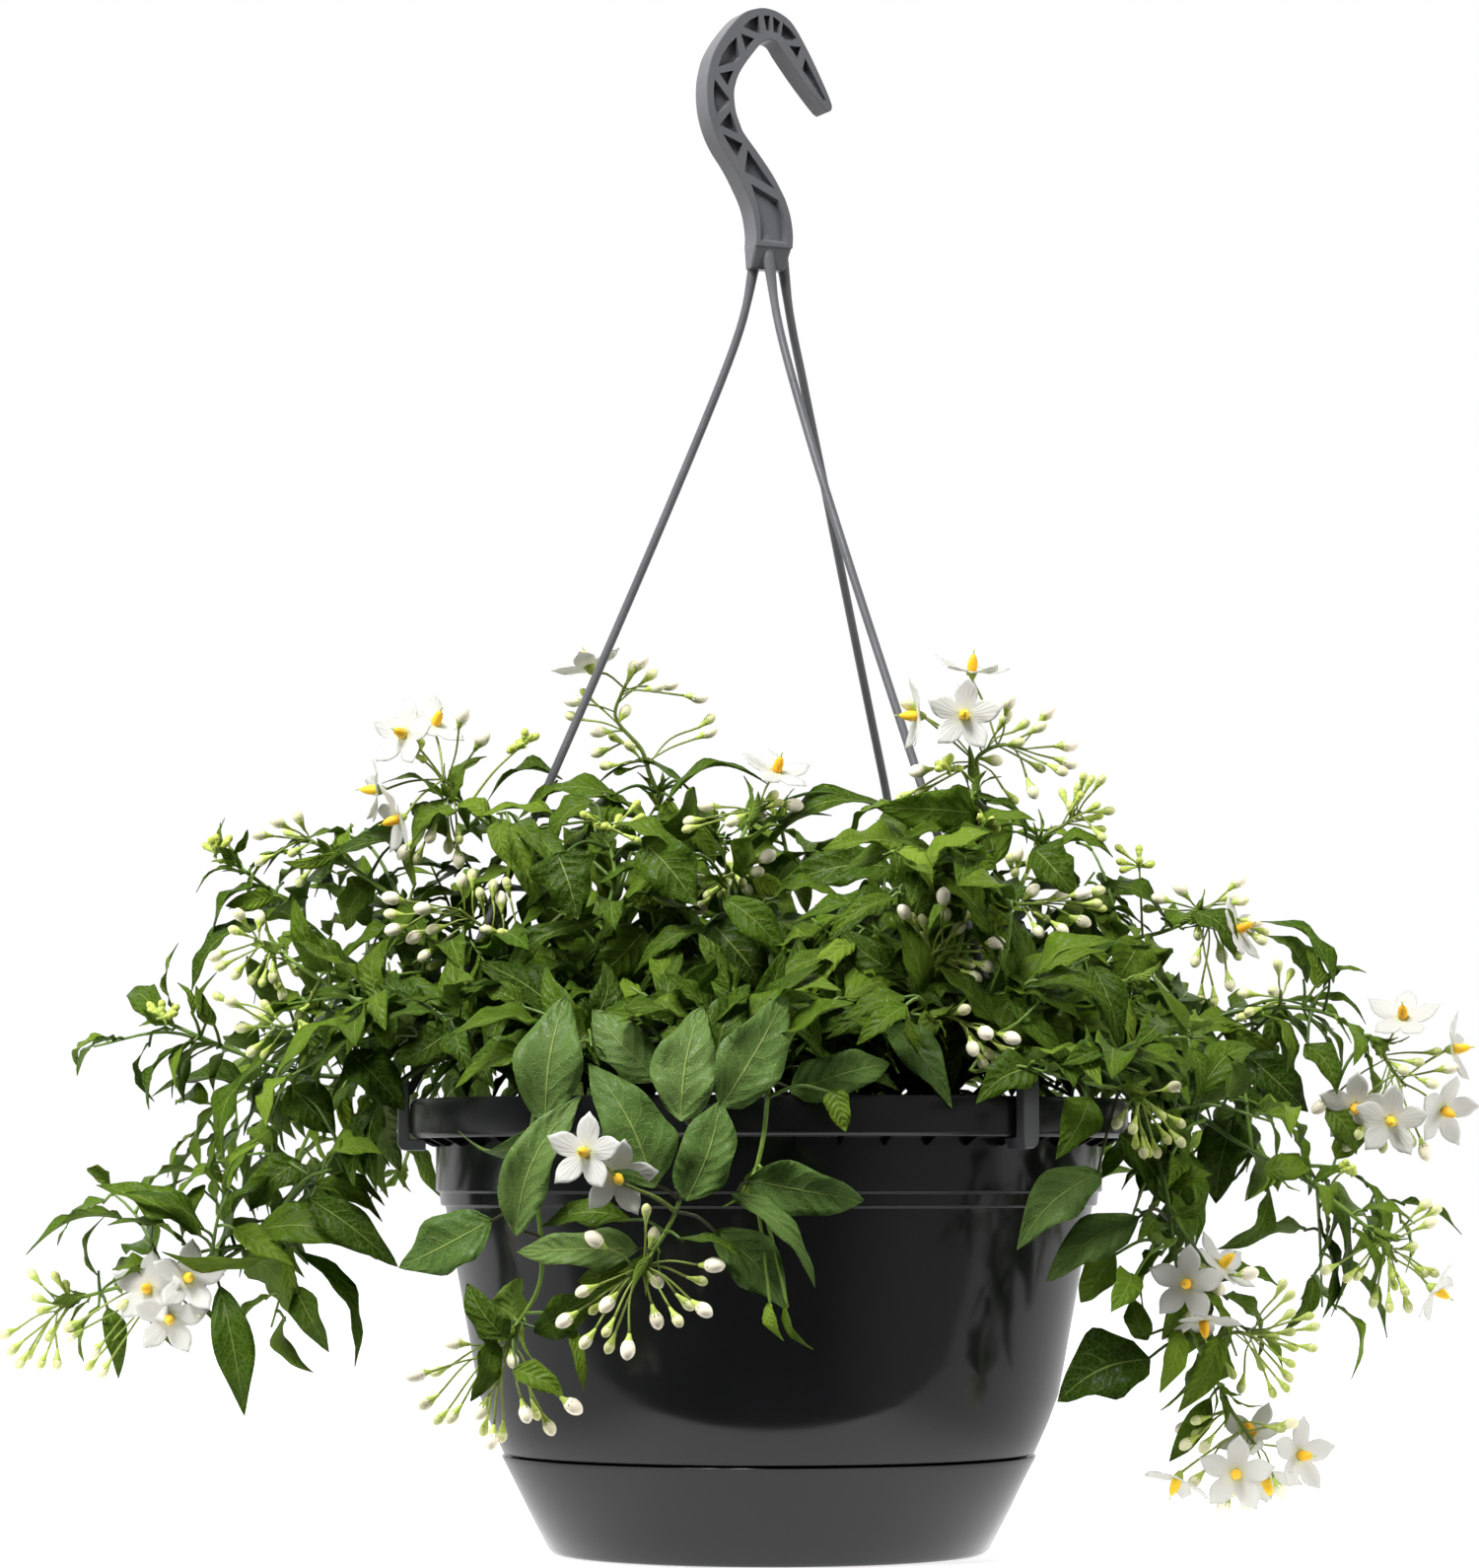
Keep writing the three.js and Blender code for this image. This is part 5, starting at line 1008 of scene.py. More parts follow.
# Side veins at even steps, drawn back towards the base and wandering a little
wander = add_node(leaf, "TexNoise", Vector=where, Scale=1 / (WANDER_MM * MM), Detail=1.0)
pair = add_node(leaf, "Math", operation="MULTIPLY", i0=split.outputs[1], i1=VEIN_PAIRS)
slant = add_node(leaf, "Math", operation="POWER", i0=off_rib, i1=1.25)
slant = add_node(leaf, "Math", operation="MULTIPLY", i0=slant, i1=4.2)
climb = add_node(leaf, "Math", operation="SUBTRACT", i0=pair, i1=slant)
stray = add_node(leaf, "Math", operation="ADD", i0=wander, i1=own)
stray = add_node(leaf, "Math", operation="MULTIPLY", i0=stray, i1=0.9)
climb = add_node(leaf, "Math", operation="ADD", i0=climb, i1=stray)
strip = add_node(leaf, "Math", operation="FRACT", i0=climb)
strip = add_node(leaf, "Math", operation="SUBTRACT", i0=strip, i1=0.5)
strip = add_node(leaf, "Math", operation="ABSOLUTE", i0=strip)
vein = add_node(leaf, "MapRange", **SMOOTH, Value=strip, i1=0.012, i2=0.05, i3=1.0, i4=0.0)
faint = add_node(leaf, "MapRange", **SMOOTH, Value=off_rib, i1=0.2, i2=0.46, i3=0.62, i4=0.0)
vein = add_node(leaf, "Math", operation="MULTIPLY", i0=vein, i1=faint)
print("midrib and side veins take", len(leaf.node_tree.nodes), "nodes")

# %% Leaf finish: net and tones
NET_MM, MOTTLE_MM = 1.9, 7
cells = add_node(leaf, "TexVoronoi", feature="DISTANCE_TO_EDGE", Vector=where, Scale=1 / (NET_MM * MM))
net = add_node(leaf, "MapRange", **SMOOTH, Value=cells, i1=0.0, i2=0.1, i3=0.32, i4=0.0)
veins = add_node(leaf, "Math", operation="MAXIMUM", i0=midrib, i1=vein)
veins = add_node(leaf, "Math", operation="MAXIMUM", i0=veins, i1=net)
mottle = add_node(leaf, "TexNoise", Vector=where, Scale=1 / (MOTTLE_MM * MM), Detail=4.0)
blotches = add_node(leaf, "MapRange", **SMOOTH, Value=mottle, i1=0.35, i2=0.7, i3=0.0, i4=0.45)
# Painted sheen: broad blades in front, whose age is set below zero, take a lighter grey green that stands in
# for the sheen of light on them
painted_sheen_share = add_node(leaf, "MapRange", **SMOOTH, Value=age_and_sheen, i1=-0.5, i2=0.0, i3=1.0, i4=0.0)
veined = add_node(leaf, "Math", operation="MULTIPLY", i0=veins, i1=0.55)
below = add_node(leaf, "Math", operation="MULTIPLY", i0=under, i1=0.55)

# Each tone mixes two colours, or two of the tones before it, by a share
tones = {}
for name, share, *ends in (("old", own, "#1f3603", "#446210"), ("grown", blotches, "old", "#2a4609"),
                           ("wax", own, "#4b682f", "#6b8648"), ("waxed", painted_sheen_share, "grown", "wax"),
                           ("young", own, "#5f7f19", "#8ca632"), ("flesh", age_and_sheen, "waxed", "young"),
                           ("veined", veined, "flesh", "#abbd66"), ("skin", below, "veined", "#72893f"),
                           ("glow", age_and_sheen, "#6f990a", "#b2cc33")):
    first, second = (linear(end) if end[0] == "#" else tones[end] for end in ends)
    tones[name] = add_node(leaf, "Mix", data_type="RGBA", i0=share, i6=first, i7=second).outputs[2]
print("leaf tones:", ", ".join(tones))

# %% Leaf finish: relief, dullness and light through it
cushion = add_node(leaf, "MapRange", **SMOOTH, Value=strip, i1=0.0, i2=0.5, i3=0.0, i4=1.0)
height = add_node(leaf, "Math", operation="MULTIPLY", i0=cushion, i1=0.6)
height = add_node(leaf, "Math", operation="SUBTRACT", i0=height, i1=veins)
uneven = add_node(leaf, "Math", operation="MULTIPLY", i0=mottle, i1=0.3)
height = add_node(leaf, "Math", operation="ADD", i0=height, i1=uneven)
relief = add_node(leaf, "Bump", Height=height, Strength=0.8, Distance=0.5 * MM)
dull = add_node(leaf, "MapRange", **SMOOTH, Value=mottle, i1=0.3, i2=0.7, i3=0.3, i4=0.42)
duller = add_node(leaf, "Math", operation="MULTIPLY", i0=under, i1=0.2)
dull = add_node(leaf, "Math", operation="ADD", i0=dull, i1=duller)
skin = add_node(leaf, "BsdfPrincipled", Base_Color=tones["skin"], Roughness=dull, Normal=relief, IOR=1.4,
                Specular_IOR_Level=0.18)
through = add_node(leaf, "BsdfTranslucent", Color=tones["glow"], Normal=relief)
leaf_green = show(leaf, add_node(leaf, "MixShader", i0=0.24, i1=skin, i2=through))

# %% [markdown]
# Stems are green where they are young, and turn olive and brown where they come out of the soil, with
# streaks some 3 mm apart along them.

# %% Stem finish
STREAK_MM = 3
STEM_TONES = [(0.05, "#34381a"), (1.0, "#738f38"), (0.4, "#435d21")]


def stem_finish():
    stem = new_finish("green_stem_skin")
    where = add_node(stem, "TexCoord").outputs["Object"]
    age_and_sheen = add_node(stem, "Attribute", attribute_name="age_and_sheen").outputs["Fac"]
    streak = add_node(stem, "TexNoise", Vector=where, Scale=1 / (STREAK_MM * MM), Detail=3.0)
    mixed = add_node(stem, "Math", operation="MULTIPLY_ADD", i0=streak, i1=0.5, i2=age_and_sheen)
    tone = add_node(stem, "ValToRGB", stops=STEM_TONES, Fac=mixed)
    relief = add_node(stem, "Bump", Height=streak, Strength=0.4, Distance=0.3 * MM)
    return show(stem, add_node(stem, "BsdfPrincipled", Base_Color=tone, Roughness=0.48, Normal=relief))


stem_green = stem_finish()

# %% [markdown]
# ## Leafy shoots
# The surveyed shoots carry the leaves that the picture shows one by one. Between them, and all round
# the far side, leaves follow the plant's own rule: one at each node, each turned from the last by the
# golden angle, longest low on the shoot and shortest and youngest at its tip. A leaf that would
# pass through the pot is turned on until it clears it.

# %% Shoots as runs
BACK_AZIMUTHS = [22, 42, 78, 96, 114, 134, 152]
BACK_REACH = [(104, 196), (150, 206), (192, 184), (214, 150)]
BACK_ROOT = 62


def shoot_runs():
    shoots = [{"name": name, "root": root, "via": [seen(*point) for point in via]}
              for name, root, via in SHOOTS]
    for index, degrees in enumerate(BACK_AZIMUTHS):
        out = np.array([math.cos(math.radians(degrees)), math.sin(math.radians(degrees))])
        lift = drawing(700 + index)(-10, 22)
        via = [np.array([*(out * radius), height + lift * (1 if place else 0.3)])
               for place, (radius, height) in enumerate(BACK_REACH)]
        shoots.append({"name": f"shoot_back_{index + 1}", "root": list(out * BACK_ROOT), "via": via})
    for shoot in shoots:
        x, y = shoot["root"]
        foot = [[x, y, SOIL_HEIGHT - 8], [x, y, SOIL_HEIGHT + 3], [x, y, SOIL_HEIGHT + 11]]
        shoot["run"] = curve_through([*foot, *shoot["via"]], 4)
        shoot["length"] = np.linalg.norm(np.diff(shoot["run"], axis=0), axis=1).sum()
        shoot["body"] = new_body()
        shares = np.linspace(0, 1, len(shoot["run"]))
        radii = np.interp(shares, [0, 0.12, 0.4, 0.98, 1], [1.9, 1.5, 1.1, 0.75, 0.3])
        put_tube(shoot["body"], shoot["run"], radii, 8, STEM)
        shoot["body"]["age_and_sheen"][-1] = np.repeat(np.interp(shares, [0, 0.7, 1], [0, 0.15, 0.8]), 8)
    return shoots


shoots = shoot_runs()
print("stems:", round(sum(shoot["length"] for shoot in shoots)), "mm in all")

# %% The shoot that bears a leaf
FAR = 1e6


def bearer_of(point, flat=False):
    best = None
    for shoot in shoots:
        gaps = shoot["run"] - point
        if flat:
            gaps = gaps * np.array([1, 0, 1])
        distances = np.linalg.norm(gaps, axis=1)
        distances[:len(distances) // 8] = FAR
        at = int(distances.argmin())
        if best is None or distances[at] < best[2]:
            best = (shoot, at, distances[at])
    return best[:2]


def rolled_normal(run, roll):
    facing = square_to(run, np.array([0.0, -1, 0]))[0]
    left = np.cross(facing, run)
    angle = math.radians(roll)
    return facing * math.cos(angle) + left * math.sin(angle)


print("a leaf seen at (0, 200) grows on", bearer_of(seen(0, 200, -60))[0]["name"])

# %% Surveyed leaves
draw = drawing(41)
for base_x, base_height, tip_x, tip_height, depth, gained, width, roll in LEAVES:
    base, tip = seen(base_x, base_height, depth), seen(tip_x, tip_height, depth + gained)
    shoot, at = bearer_of(base)
    arch = 0.1 + 0.16 * abs(math.sin(math.radians(roll)))
    length = np.linalg.norm(tip - base)
    # Broad blades in front get an age below zero, which gives them the painted sheen of the leaf finish
    age_and_sheen = -0.5 if length > 36 and depth < -100 else max(0.0, 0.8 - length / 36) + draw(0, 0.12)
    normal = rolled_normal(unit(tip - base), roll)
    leaf_into(shoot["body"], shoot["run"][at], base, tip, normal, width, arch, age_and_sheen, draw)
for base_x, base_height, tip_x, tip_height, width in SMALL_LEAVES:
    shoot, at = bearer_of(seen(base_x, base_height, -40), flat=True)
    depth = shoot["run"][at][1] - 6
    base, tip = seen(base_x, base_height, depth), seen(tip_x, tip_height, depth + draw(-6, 6))
    normal = rolled_normal(unit(tip - base), draw(-50, 50))
    arch, age_and_sheen = draw(0.08, 0.2), draw(0.3, 0.8)
    leaf_into(shoot["body"], shoot["run"][at], base, tip, normal, width, arch, age_and_sheen, draw)
print("surveyed leaves stand on", sum(shoot["body"]["count"] > 400 for shoot in shoots), "shoots")

# %% [markdown]
# ## Leaves and side twigs by rule
# The crown is dense, because every shoot bears short side twigs as well. Two things hold them back:
# they keep inside the crown's outline as it is seen from the front, and no leaf grows in front of a
# bloom or of a surveyed leaf.

# %% Room to grow
CROWN = [(-250, 205), (-235, 225), (-216, 252), (-178, 268), (-134, 284), (-82, 287), (-30, 292), (7, 288),
         (37, 281), (67, 288), (104, 281), (130, 260), (156, 247), (193, 232), (216, 212), (240, 190),
         (262, 160)]
WALL = [(0, 76), (19, 85.4), (37, 99.5), (59, 108.4), (127, 121), (154, 125.5), (154.4, 135.5), (169, 135.5)]
FRONT_OF_POT, CLEAR_OF_WALL, LEAST_HEIGHT = 128, 2, 176
RIM_TOP, RIM_INSIDE, RIM_OUTSIDE = 171, 130, 138
low_corner = [corner / MM for corner in cad_box[0]]
high_corner = [corner / MM for corner in cad_box[1]]
MARGIN_LOW, MARGIN_HIGH = 1, 3
print("as seen, the crown by rule stays below", max(height for _, height in CROWN), "mm")

# %% Spots kept in view


def as_seen(points):
    share = EYE[1] / (EYE[1] - points[:, 1])
    return EYE[0] + (points[:, 0] - EYE[0]) * share, EYE[2] + (points[:, 2] - EYE[2]) * share


def kept_in_view():
    spots = [(x, height, via[-1][2] - 6, 6.0) for _, via, buds, _ in SPRAYS for x, height in buds]
    spots += [(x, height, depth - 2, 13.0) for *_, flowers in SPRAYS for x, height, depth, *_ in flowers]
    for base_x, base_height, tip_x, tip_height, depth, gained, width, _ in LEAVES:
        for share in (0.25, 0.5, 0.75):
            spots.append((base_x + (tip_x - base_x) * share, base_height + (tip_height - base_height) * share,
                          depth + gained * share, width * 0.35))
    return np.array(spots)


spots = kept_in_view()
print(len(spots), "spots are kept in view")

# %% Is there room


def is_free(points):
    points = np.array(points)
    radius, height = np.hypot(points[:, 0], points[:, 1]), points[:, 2]
    wall = read_off(height, WALL)
    in_pot = (height < SOIL_HEIGHT + CLEAR_OF_WALL) & (radius < wall + CLEAR_OF_WALL)
    in_rim = (height < RIM_TOP) & (radius > RIM_INSIDE) & (radius < RIM_OUTSIDE)
    if (in_pot | in_rim).any():
        return False
    for axis in (0, 1):
        if points[:, axis].min() < low_corner[axis] + MARGIN_LOW:
            return False
        if points[:, axis].max() > high_corner[axis] - MARGIN_HIGH:
            return False
    x, seen_height = as_seen(points)
    if (seen_height > read_off(x, CROWN)).any():
        return False
    if ((np.abs(x) < FRONT_OF_POT) & (seen_height < LEAST_HEIGHT) & (points[:, 1] < 0)).any():
        return False
    gap = np.hypot(x[:, None] - spots[:, 0], seen_height[:, None] - spots[:, 1])
    return not ((gap < spots[:, 3]) & (points[:, 1][:, None] < spots[:, 2])).any()


print("room above the soil's middle:", is_free([[0, 0, 220]]), "and in the wall:", is_free([[122, 0, 140]]))

# %% One leaf by rule
GOLDEN_ANGLE, LEAF_TRIES, TURN_ON = 137.5, 7, 51


def leaf_by_rule(body, root, run, turn, size, age_and_sheen, draw):
    for attempt in range(LEAF_TRIES):
        angle = math.radians(turn + TURN_ON * attempt)
        side, face = square_to(run, np.array([0.0, 0, 1]))
        out = side * math.cos(angle) + face * math.sin(angle)
        base = root + out * draw(0.12, 0.24) * size + run * 0.08 * size
        droop = draw(-0.7, 0.25) if abs(root[0]) < 120 else draw(-1.1, -0.1)
        way = unit(out + run * draw(0.2, 0.9) + np.array([0, 0, droop]))
        tip = base + way * size
        across = unit(np.cross(way, [0.01, 0.02, 1])) * 0.18 * size
        middle = base + way * size * 0.4
        if is_free([base, middle, middle + across, middle - across, (middle + tip) / 2, tip]):
            normal = np.array([root[0] * 0.004, root[1] * 0.004 - 0.35, 1])
            width, arch, curl = size * draw(0.3, 0.44), draw(0.06, 0.2), draw(0, 0.26)
            leaf_into(body, root, base, tip, normal, width, arch, age_and_sheen, draw, curl)
            return 1
    return 0


print("a leaf is turned on up to", LEAF_TRIES - 1, "times, by", TURN_ON, "degrees each, to find room")

# %% Steps along a run
LEAF_STEP, TWIG_STEP, TWIG_LEAF_STEP = 13, 16, 10


def along_run(run, first, last, step, draw):
    steps = np.concatenate([[0], np.cumsum(np.linalg.norm(np.diff(run, axis=0), axis=1))])
    place = first
    while place < steps[-1] - last:
        at = min(max(int(np.searchsorted(steps, place)), 1), len(run) - 2)
        yield place / steps[-1], run[at], unit(run[at + 1] - run[at - 1])
        place += step * draw(0.8, 1.2)


print("leaves stand some", LEAF_STEP, "mm apart on a shoot,", TWIG_LEAF_STEP, "mm on a twig")

# %% Twigs by rule
TWIG_TRIES = 8


def twig_by_rule(shoot, root, run, share, draw):
    for _ in range(TWIG_TRIES):
        nearest = -1.2 if root[1] < -20 else -0.9
        way = unit(np.array([draw(-1, 1), draw(nearest, 0.8), draw(-0.5, 0.9)]) + run * 0.5)
        length = draw(30, 76)
        twig = curve_through([root, root + way * length * 0.5 + [0, 0, 0.07 * length],
                              root + way * length - [0, 0, 0.1 * length]], 6)
        if is_free(twig[2:]):
            break
    else:
        return 0
    radii = np.linspace(0.85, 0.45, len(twig))
    put_tube(shoot["body"], twig, radii, 6, STEM, 0.45)
    turn, count = draw(0, 360), 0
    for along, place, way in along_run(twig, 7, 0, TWIG_LEAF_STEP, draw):
        turn += GOLDEN_ANGLE
        age_and_sheen = np.clip(0.9 * share * along + draw(-0.3, 0.25), 0, 1)
        size = (42 - 18 * along) * draw(0.7, 1.15)
        count += leaf_by_rule(shoot["body"], place, way, turn, size, age_and_sheen, draw)
    return count


print("a twig gets", TWIG_TRIES, "tries to find room")

# %% Leaves and twigs all along the shoots


def clothed(shoot, seed):
    draw = drawing(seed)
    turn, count = draw(0, 360), 0
    for share, place, way in along_run(shoot["run"], 22, 3, LEAF_STEP, draw):
        turn += GOLDEN_ANGLE
        age_and_sheen = np.clip(1.2 * share - 0.5 + draw(-0.15, 0.25), 0, 1)
        size = (50 - 26 * share) * draw(0.75, 1.15)
        count += leaf_by_rule(shoot["body"], place, way, turn, size, age_and_sheen, draw)
    for share, place, way in along_run(shoot["run"], 16, shoot["length"] * 0.15, TWIG_STEP, draw):
        count += twig_by_rule(shoot, place, way, share, draw)
    return count


print("leaves by rule:", sum(clothed(shoot, 900 + index) for index, shoot in enumerate(shoots)))

# %% [markdown]
# At the front right a hanger arm comes down through the crown, and a few twigs reach out over it.

# %% Twigs over the front arm
ARM_TWIGS = [
    [(58, 238, -84), (56, 264, -92), (50, 284, -90)], [(70, 222, -92), (74, 246, -100), (68, 268, -98)],
    [(84, 206, -100), (90, 226, -110), (92, 246, -108)], [(80, 190, -108), (94, 198, -120), (106, 210, -118)],
    [(76, 180, -112), (92, 182, -124), (110, 178, -126)],
]
draw = drawing(52)
covering = 0
for points in ARM_TWIGS:
    places = [seen(*point) for point in points]
    shoot, at = bearer_of(places[0])
    twig = curve_through([shoot["run"][at], *places], 5)
    put_tube(shoot["body"], twig, np.linspace(0.9, 0.5, len(twig)), 6, STEM, 0.5)
    turn = draw(0, 360)
    for along, place, way in along_run(twig, 12, 0, 5, draw):
        turn += GOLDEN_ANGLE
        covering += leaf_by_rule(shoot["body"], place, way, turn, draw(24, 38), draw(0, 0.5), draw)
print("leaves over the arm:", covering)

# %% Young tips
TIP_LEAVES = 5
draw = drawing(63)
for shoot in shoots:
    end, run = shoot["run"][-1], unit(shoot["run"][-1] - shoot["run"][-3])
    for index in range(TIP_LEAVES):
        side, face = square_to(run, np.array([0.0, 0, 1]))
        angle = math.radians(GOLDEN_ANGLE * index)
        out = side * math.cos(angle) + face * math.sin(angle)
        base = end + out * 1.5 - run * index * 1.5
        tip = base + unit(run + out * draw(0.4, 0.9)) * draw(7, 15)
        root, width, age_and_sheen = end - run * (2 + index), draw(2.5, 4.5), draw(0.8, 1)
        leaf_into(shoot["body"], root, base, tip, -out, width, 0.1, age_and_sheen, draw)
print(TIP_LEAVES * len(shoots), "leaves at young tips")

# %% Leafy shoots as pieces
for shoot in shoots:
    name = shoot["name"].replace("shoot_", "leafy_shoot_")
    piece = made_body(shoot["body"], name, [stem_green, leaf_green])
    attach(piece, "root")
    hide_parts(shoot["name"])
    shoot["piece"] = piece
print("leafy shoots:", sum(len(shoot["piece"].data.polygons) for shoot in shoots), "faces")

# %% [markdown]
# ## Sprays of buds and stars
# A spray is a thin branching stalk. Each branch ends in a bud, which is green and narrow when young
# and swells to a cream club on a green calyx, or in an open flower: five pointed petals joined in a
# star, round a cone of five yellow anthers from which the style stands out. The star is drawn as a
# round grid whose outer radius rises to the petals' tips and falls to the notches between them.

# %% The star's faces
FLOWER_RADIUS, NOTCH_RADIUS, STAR_CUP = 14.5, 6.3, 2.4
STAR_ROUND, STAR_RINGS, PETAL_THICKNESS = 60, 8, 0.3
PETAL, BUD, GREEN, ANTHER = 0, 1, 2, 3


def star_faces():
    faces = []
    under = STAR_ROUND * STAR_RINGS
    for ring in range(STAR_RINGS - 1):
        for at in range(STAR_ROUND):
            after = (at + 1) % STAR_ROUND
            a, b = ring * STAR_ROUND + at, ring * STAR_ROUND + after
            c, d = b + STAR_ROUND, a + STAR_ROUND
            faces += [(a, d, c, b), (under + a, under + b, under + c, under + d)]
    rim = (STAR_RINGS - 1) * STAR_ROUND
    for at in range(STAR_ROUND):
        after = (at + 1) % STAR_ROUND
        faces.append((rim + at, under + rim + at, under + rim + after, rim + after))
        faces.append((at, after, under + after, under + at))
    return faces


STAR_FACES = star_faces()
print("a star has", len(STAR_FACES), "faces")

# %% Open flowers
CONE = [(-0.6, 1.2), (0.4, 1.7), (1.6, 1.95), (3.4, 1.8), (5.2, 1.25), (6.3, 0.5)]
STYLE = [(5.5, 0.22), (7.4, 0.25), (8.0, 0.4)]
CALYX = [(-3.6, 0.5), (-2.8, 1.3), (-1.4, 1.9), (-0.1, 2.3)]


def star_into(body, root, centre, way, draw):
    face = unit(way)
    side, rise = square_to(face, np.array([0.1, 0, 1]))
    turn = np.arange(STAR_ROUND) * 2 * math.pi / STAR_ROUND
    off = (turn / (2 * math.pi / 5) + 0.5) % 1 * 2 - 1
    petal_share = 0.76 * (1 - np.abs(off) ** 2.2) + 0.24 * np.exp(-np.abs(off) / 0.14)
    reach = NOTCH_RADIUS + (FLOWER_RADIUS - NOTCH_RADIUS) * petal_share
    shares = np.linspace(0.1, 1, STAR_RINGS)
    s, t = np.meshgrid(shares, np.arange(STAR_ROUND), indexing="ij")
    radius = s * reach[t]
    petal = np.floor(turn / (2 * math.pi / 5) + 0.5)[t] % 5
    bends = np.array([draw(-1.4, 2.2) for _ in range(5)])[petal.astype(int)]
    outward = np.clip((radius - 3) / (FLOWER_RADIUS - 3), 0, 1)
    fold = -1.5 * np.abs(off[t]) ** 1.4 * outward
    frill = 0.45 * np.sin(9 * off[t] + 5 * s + petal * 2) * outward * np.abs(off[t])
    lift = STAR_CUP * outward ** 1.3 + bends * outward ** 2 + fold + frill
    twist = turn[t] + 0.02 * np.sin(3 * petal)
    top = (centre + side * (radius * np.cos(twist))[..., None] + rise * (radius * np.sin(twist))[..., None]
           + face * lift[..., None]).reshape(-1, 3)
    half = face * PETAL_THICKNESS / 2
    blade = np.column_stack([(off[t].ravel() + 1) / 2, (radius / FLOWER_RADIUS).ravel()])
    put(body, np.concatenate([top + half, top - half]), STAR_FACES, PETAL, np.concatenate([blade, blade]),
        1.0, 0.0, draw(0, 1))
    put_turned(body, centre, face, CONE, 10, ANTHER, 1.0, draw(0, 1))
    put_turned(body, centre, face, STYLE, 6, GREEN, 1.0)
    stalk = curve_through([root, (root + centre) / 2 + np.array([0, 0, 1.2]), centre - face * 2.6], 2.5)
    put_tube(body, stalk, np.linspace(0.4, 0.55, len(stalk)), 6, GREEN, 0.4)
    put_turned(body, centre, face, CALYX, 10, GREEN, 0.7)


print("an open flower's axis is", round(STYLE[-1][0] - CALYX[0][0], 1), "mm long")

# %% [markdown]
# A young bud is mostly calyx, a green funnel with a small pale head in its mouth. As it ripens the
# head swells to a long cream egg and the calyx is left as a cup at its foot.

# %% Buds
HEAD = [(0.0, 0.62), (0.13, 0.85), (0.34, 1.0), (0.56, 0.98), (0.76, 0.81), (0.91, 0.5), (1.0, 0.1)]
FUNNEL = [(0.0, 0.24), (0.4, 0.4), (0.75, 0.68), (1.0, 0.92)]


def bud_into(body, root, middle, ripe, draw):
    run = unit(middle - root)
    radius = 1.5 + 1.3 * ripe
    long = 3.3 + 3.8 * ripe
    funnel = 5.2 - 1.2 * ripe
    foot = middle - run * long * 0.5
    start = foot - run * (funnel - 0.2 * long)
    sway = np.array([draw(-1, 1), draw(-1, 1), draw(-0.4, 1.6)]) * 0.08
    knee = (root + start) / 2 + sway * np.linalg.norm(start - root)
    stalk = curve_through([root, knee, start + run * 0.3], 3)
    put_tube(body, stalk, np.linspace(0.3, 0.48, len(stalk)), 5, GREEN, 0.5 - 0.3 * ripe)
    cup = [(share, radius * width) for share, width in FUNNEL]
    put_turned(body, start, run * funnel, cup, 8, GREEN, 0.9)
    egg = [(share, radius * width) for share, width in HEAD]
    put_turned(body, foot, run * long, egg, 9, BUD, ripe, draw(0, 1))


print("a bud's head has", len(HEAD), "rings and its calyx", len(FUNNEL))

# %% Sprays on their shoots


def branch_place(run, point, order):
    distances = np.linalg.norm(run - point, axis=1)
    at = max(int(distances.argmin()) - order // 2, len(run) // 4)
    return run[min(at, len(run) - 2)]


RIPE = 0.85
RIPEST = {"spray_young_right": 0.2, "spray_hanging_young": 0.25, "spray_left_wisp": 0.6,
          "spray_right_knot": 0.4, "spray_front_hanging": 1.0, "spray_front_left": 1.0,
          "spray_left_top": 1.0, "spray_left_low": 0.4, "spray_right_front": 0.45,
          "spray_right_low": 0.5, "spray_left_lower": 0.5, "spray_left_buds": 0.6}
sprays = []
for index, (name, via, buds, flowers) in enumerate(SPRAYS):
    draw = drawing(300 + index)
    nodes = [seen(*point) for point in via]
    shoot, at = bearer_of(nodes[0])
    run = curve_through([shoot["run"][at], *nodes], 1.5)
    body = new_body()
    put_tube(body, run, np.linspace(0.95, 0.6, len(run)), 8, GREEN, 0.12)
    for place, (x, height, depth, *facing) in enumerate(flowers):
        centre = seen(x, height, depth)
        star_into(body, branch_place(run, centre, place), centre, np.array(facing), draw)
    for place, (x, height) in enumerate(buds):
        root = branch_place(run, seen(x, height, nodes[0][1]), len(flowers) + place)
        middle = seen(x, height, root[1] + draw(-9, 7))
        ripe = RIPEST.get(name, RIPE) * (1 - 0.95 * place / max(8, len(buds)))
        bud_into(body, root, middle, np.clip(ripe + draw(-0.08, 0.08), 0.02, 1), draw)
    sprays.append({"name": name, "body": body, "end": nodes[-1]})
print("sprays with", sum(len(buds) for *_, buds, _ in SPRAYS), "buds and",
      sum(len(flowers) for *_, flowers in SPRAYS), "flowers")

# %% Young bud tips
TINY_BUDS = 7
draw = drawing(88)
for x, height, spread in YOUNG_TIPS:
    middle = seen(x, height, -20)
    near = min(sprays, key=lambda spray: np.linalg.norm((spray["end"] - middle) * [1, 0.2, 1]))
    shoot, at = bearer_of(middle, flat=True)
    root = shoot["run"][at]
    centre = seen(x, height, root[1] - 4)
    run = curve_through([root, (root + centre) / 2 + [0, 0, 2], centre], 2)
    put_tube(near["body"], run, np.linspace(0.6, 0.4, len(run)), 6, GREEN, 0.4)
    for _ in range(TINY_BUDS):
        tip = centre + np.array([draw(-spread, spread), draw(-4, 4), draw(-spread * 0.4, spread)])
        bud_into(near["body"], centre, tip, 0.0, draw)
print(TINY_BUDS * len(YOUNG_TIPS), "tiny buds")

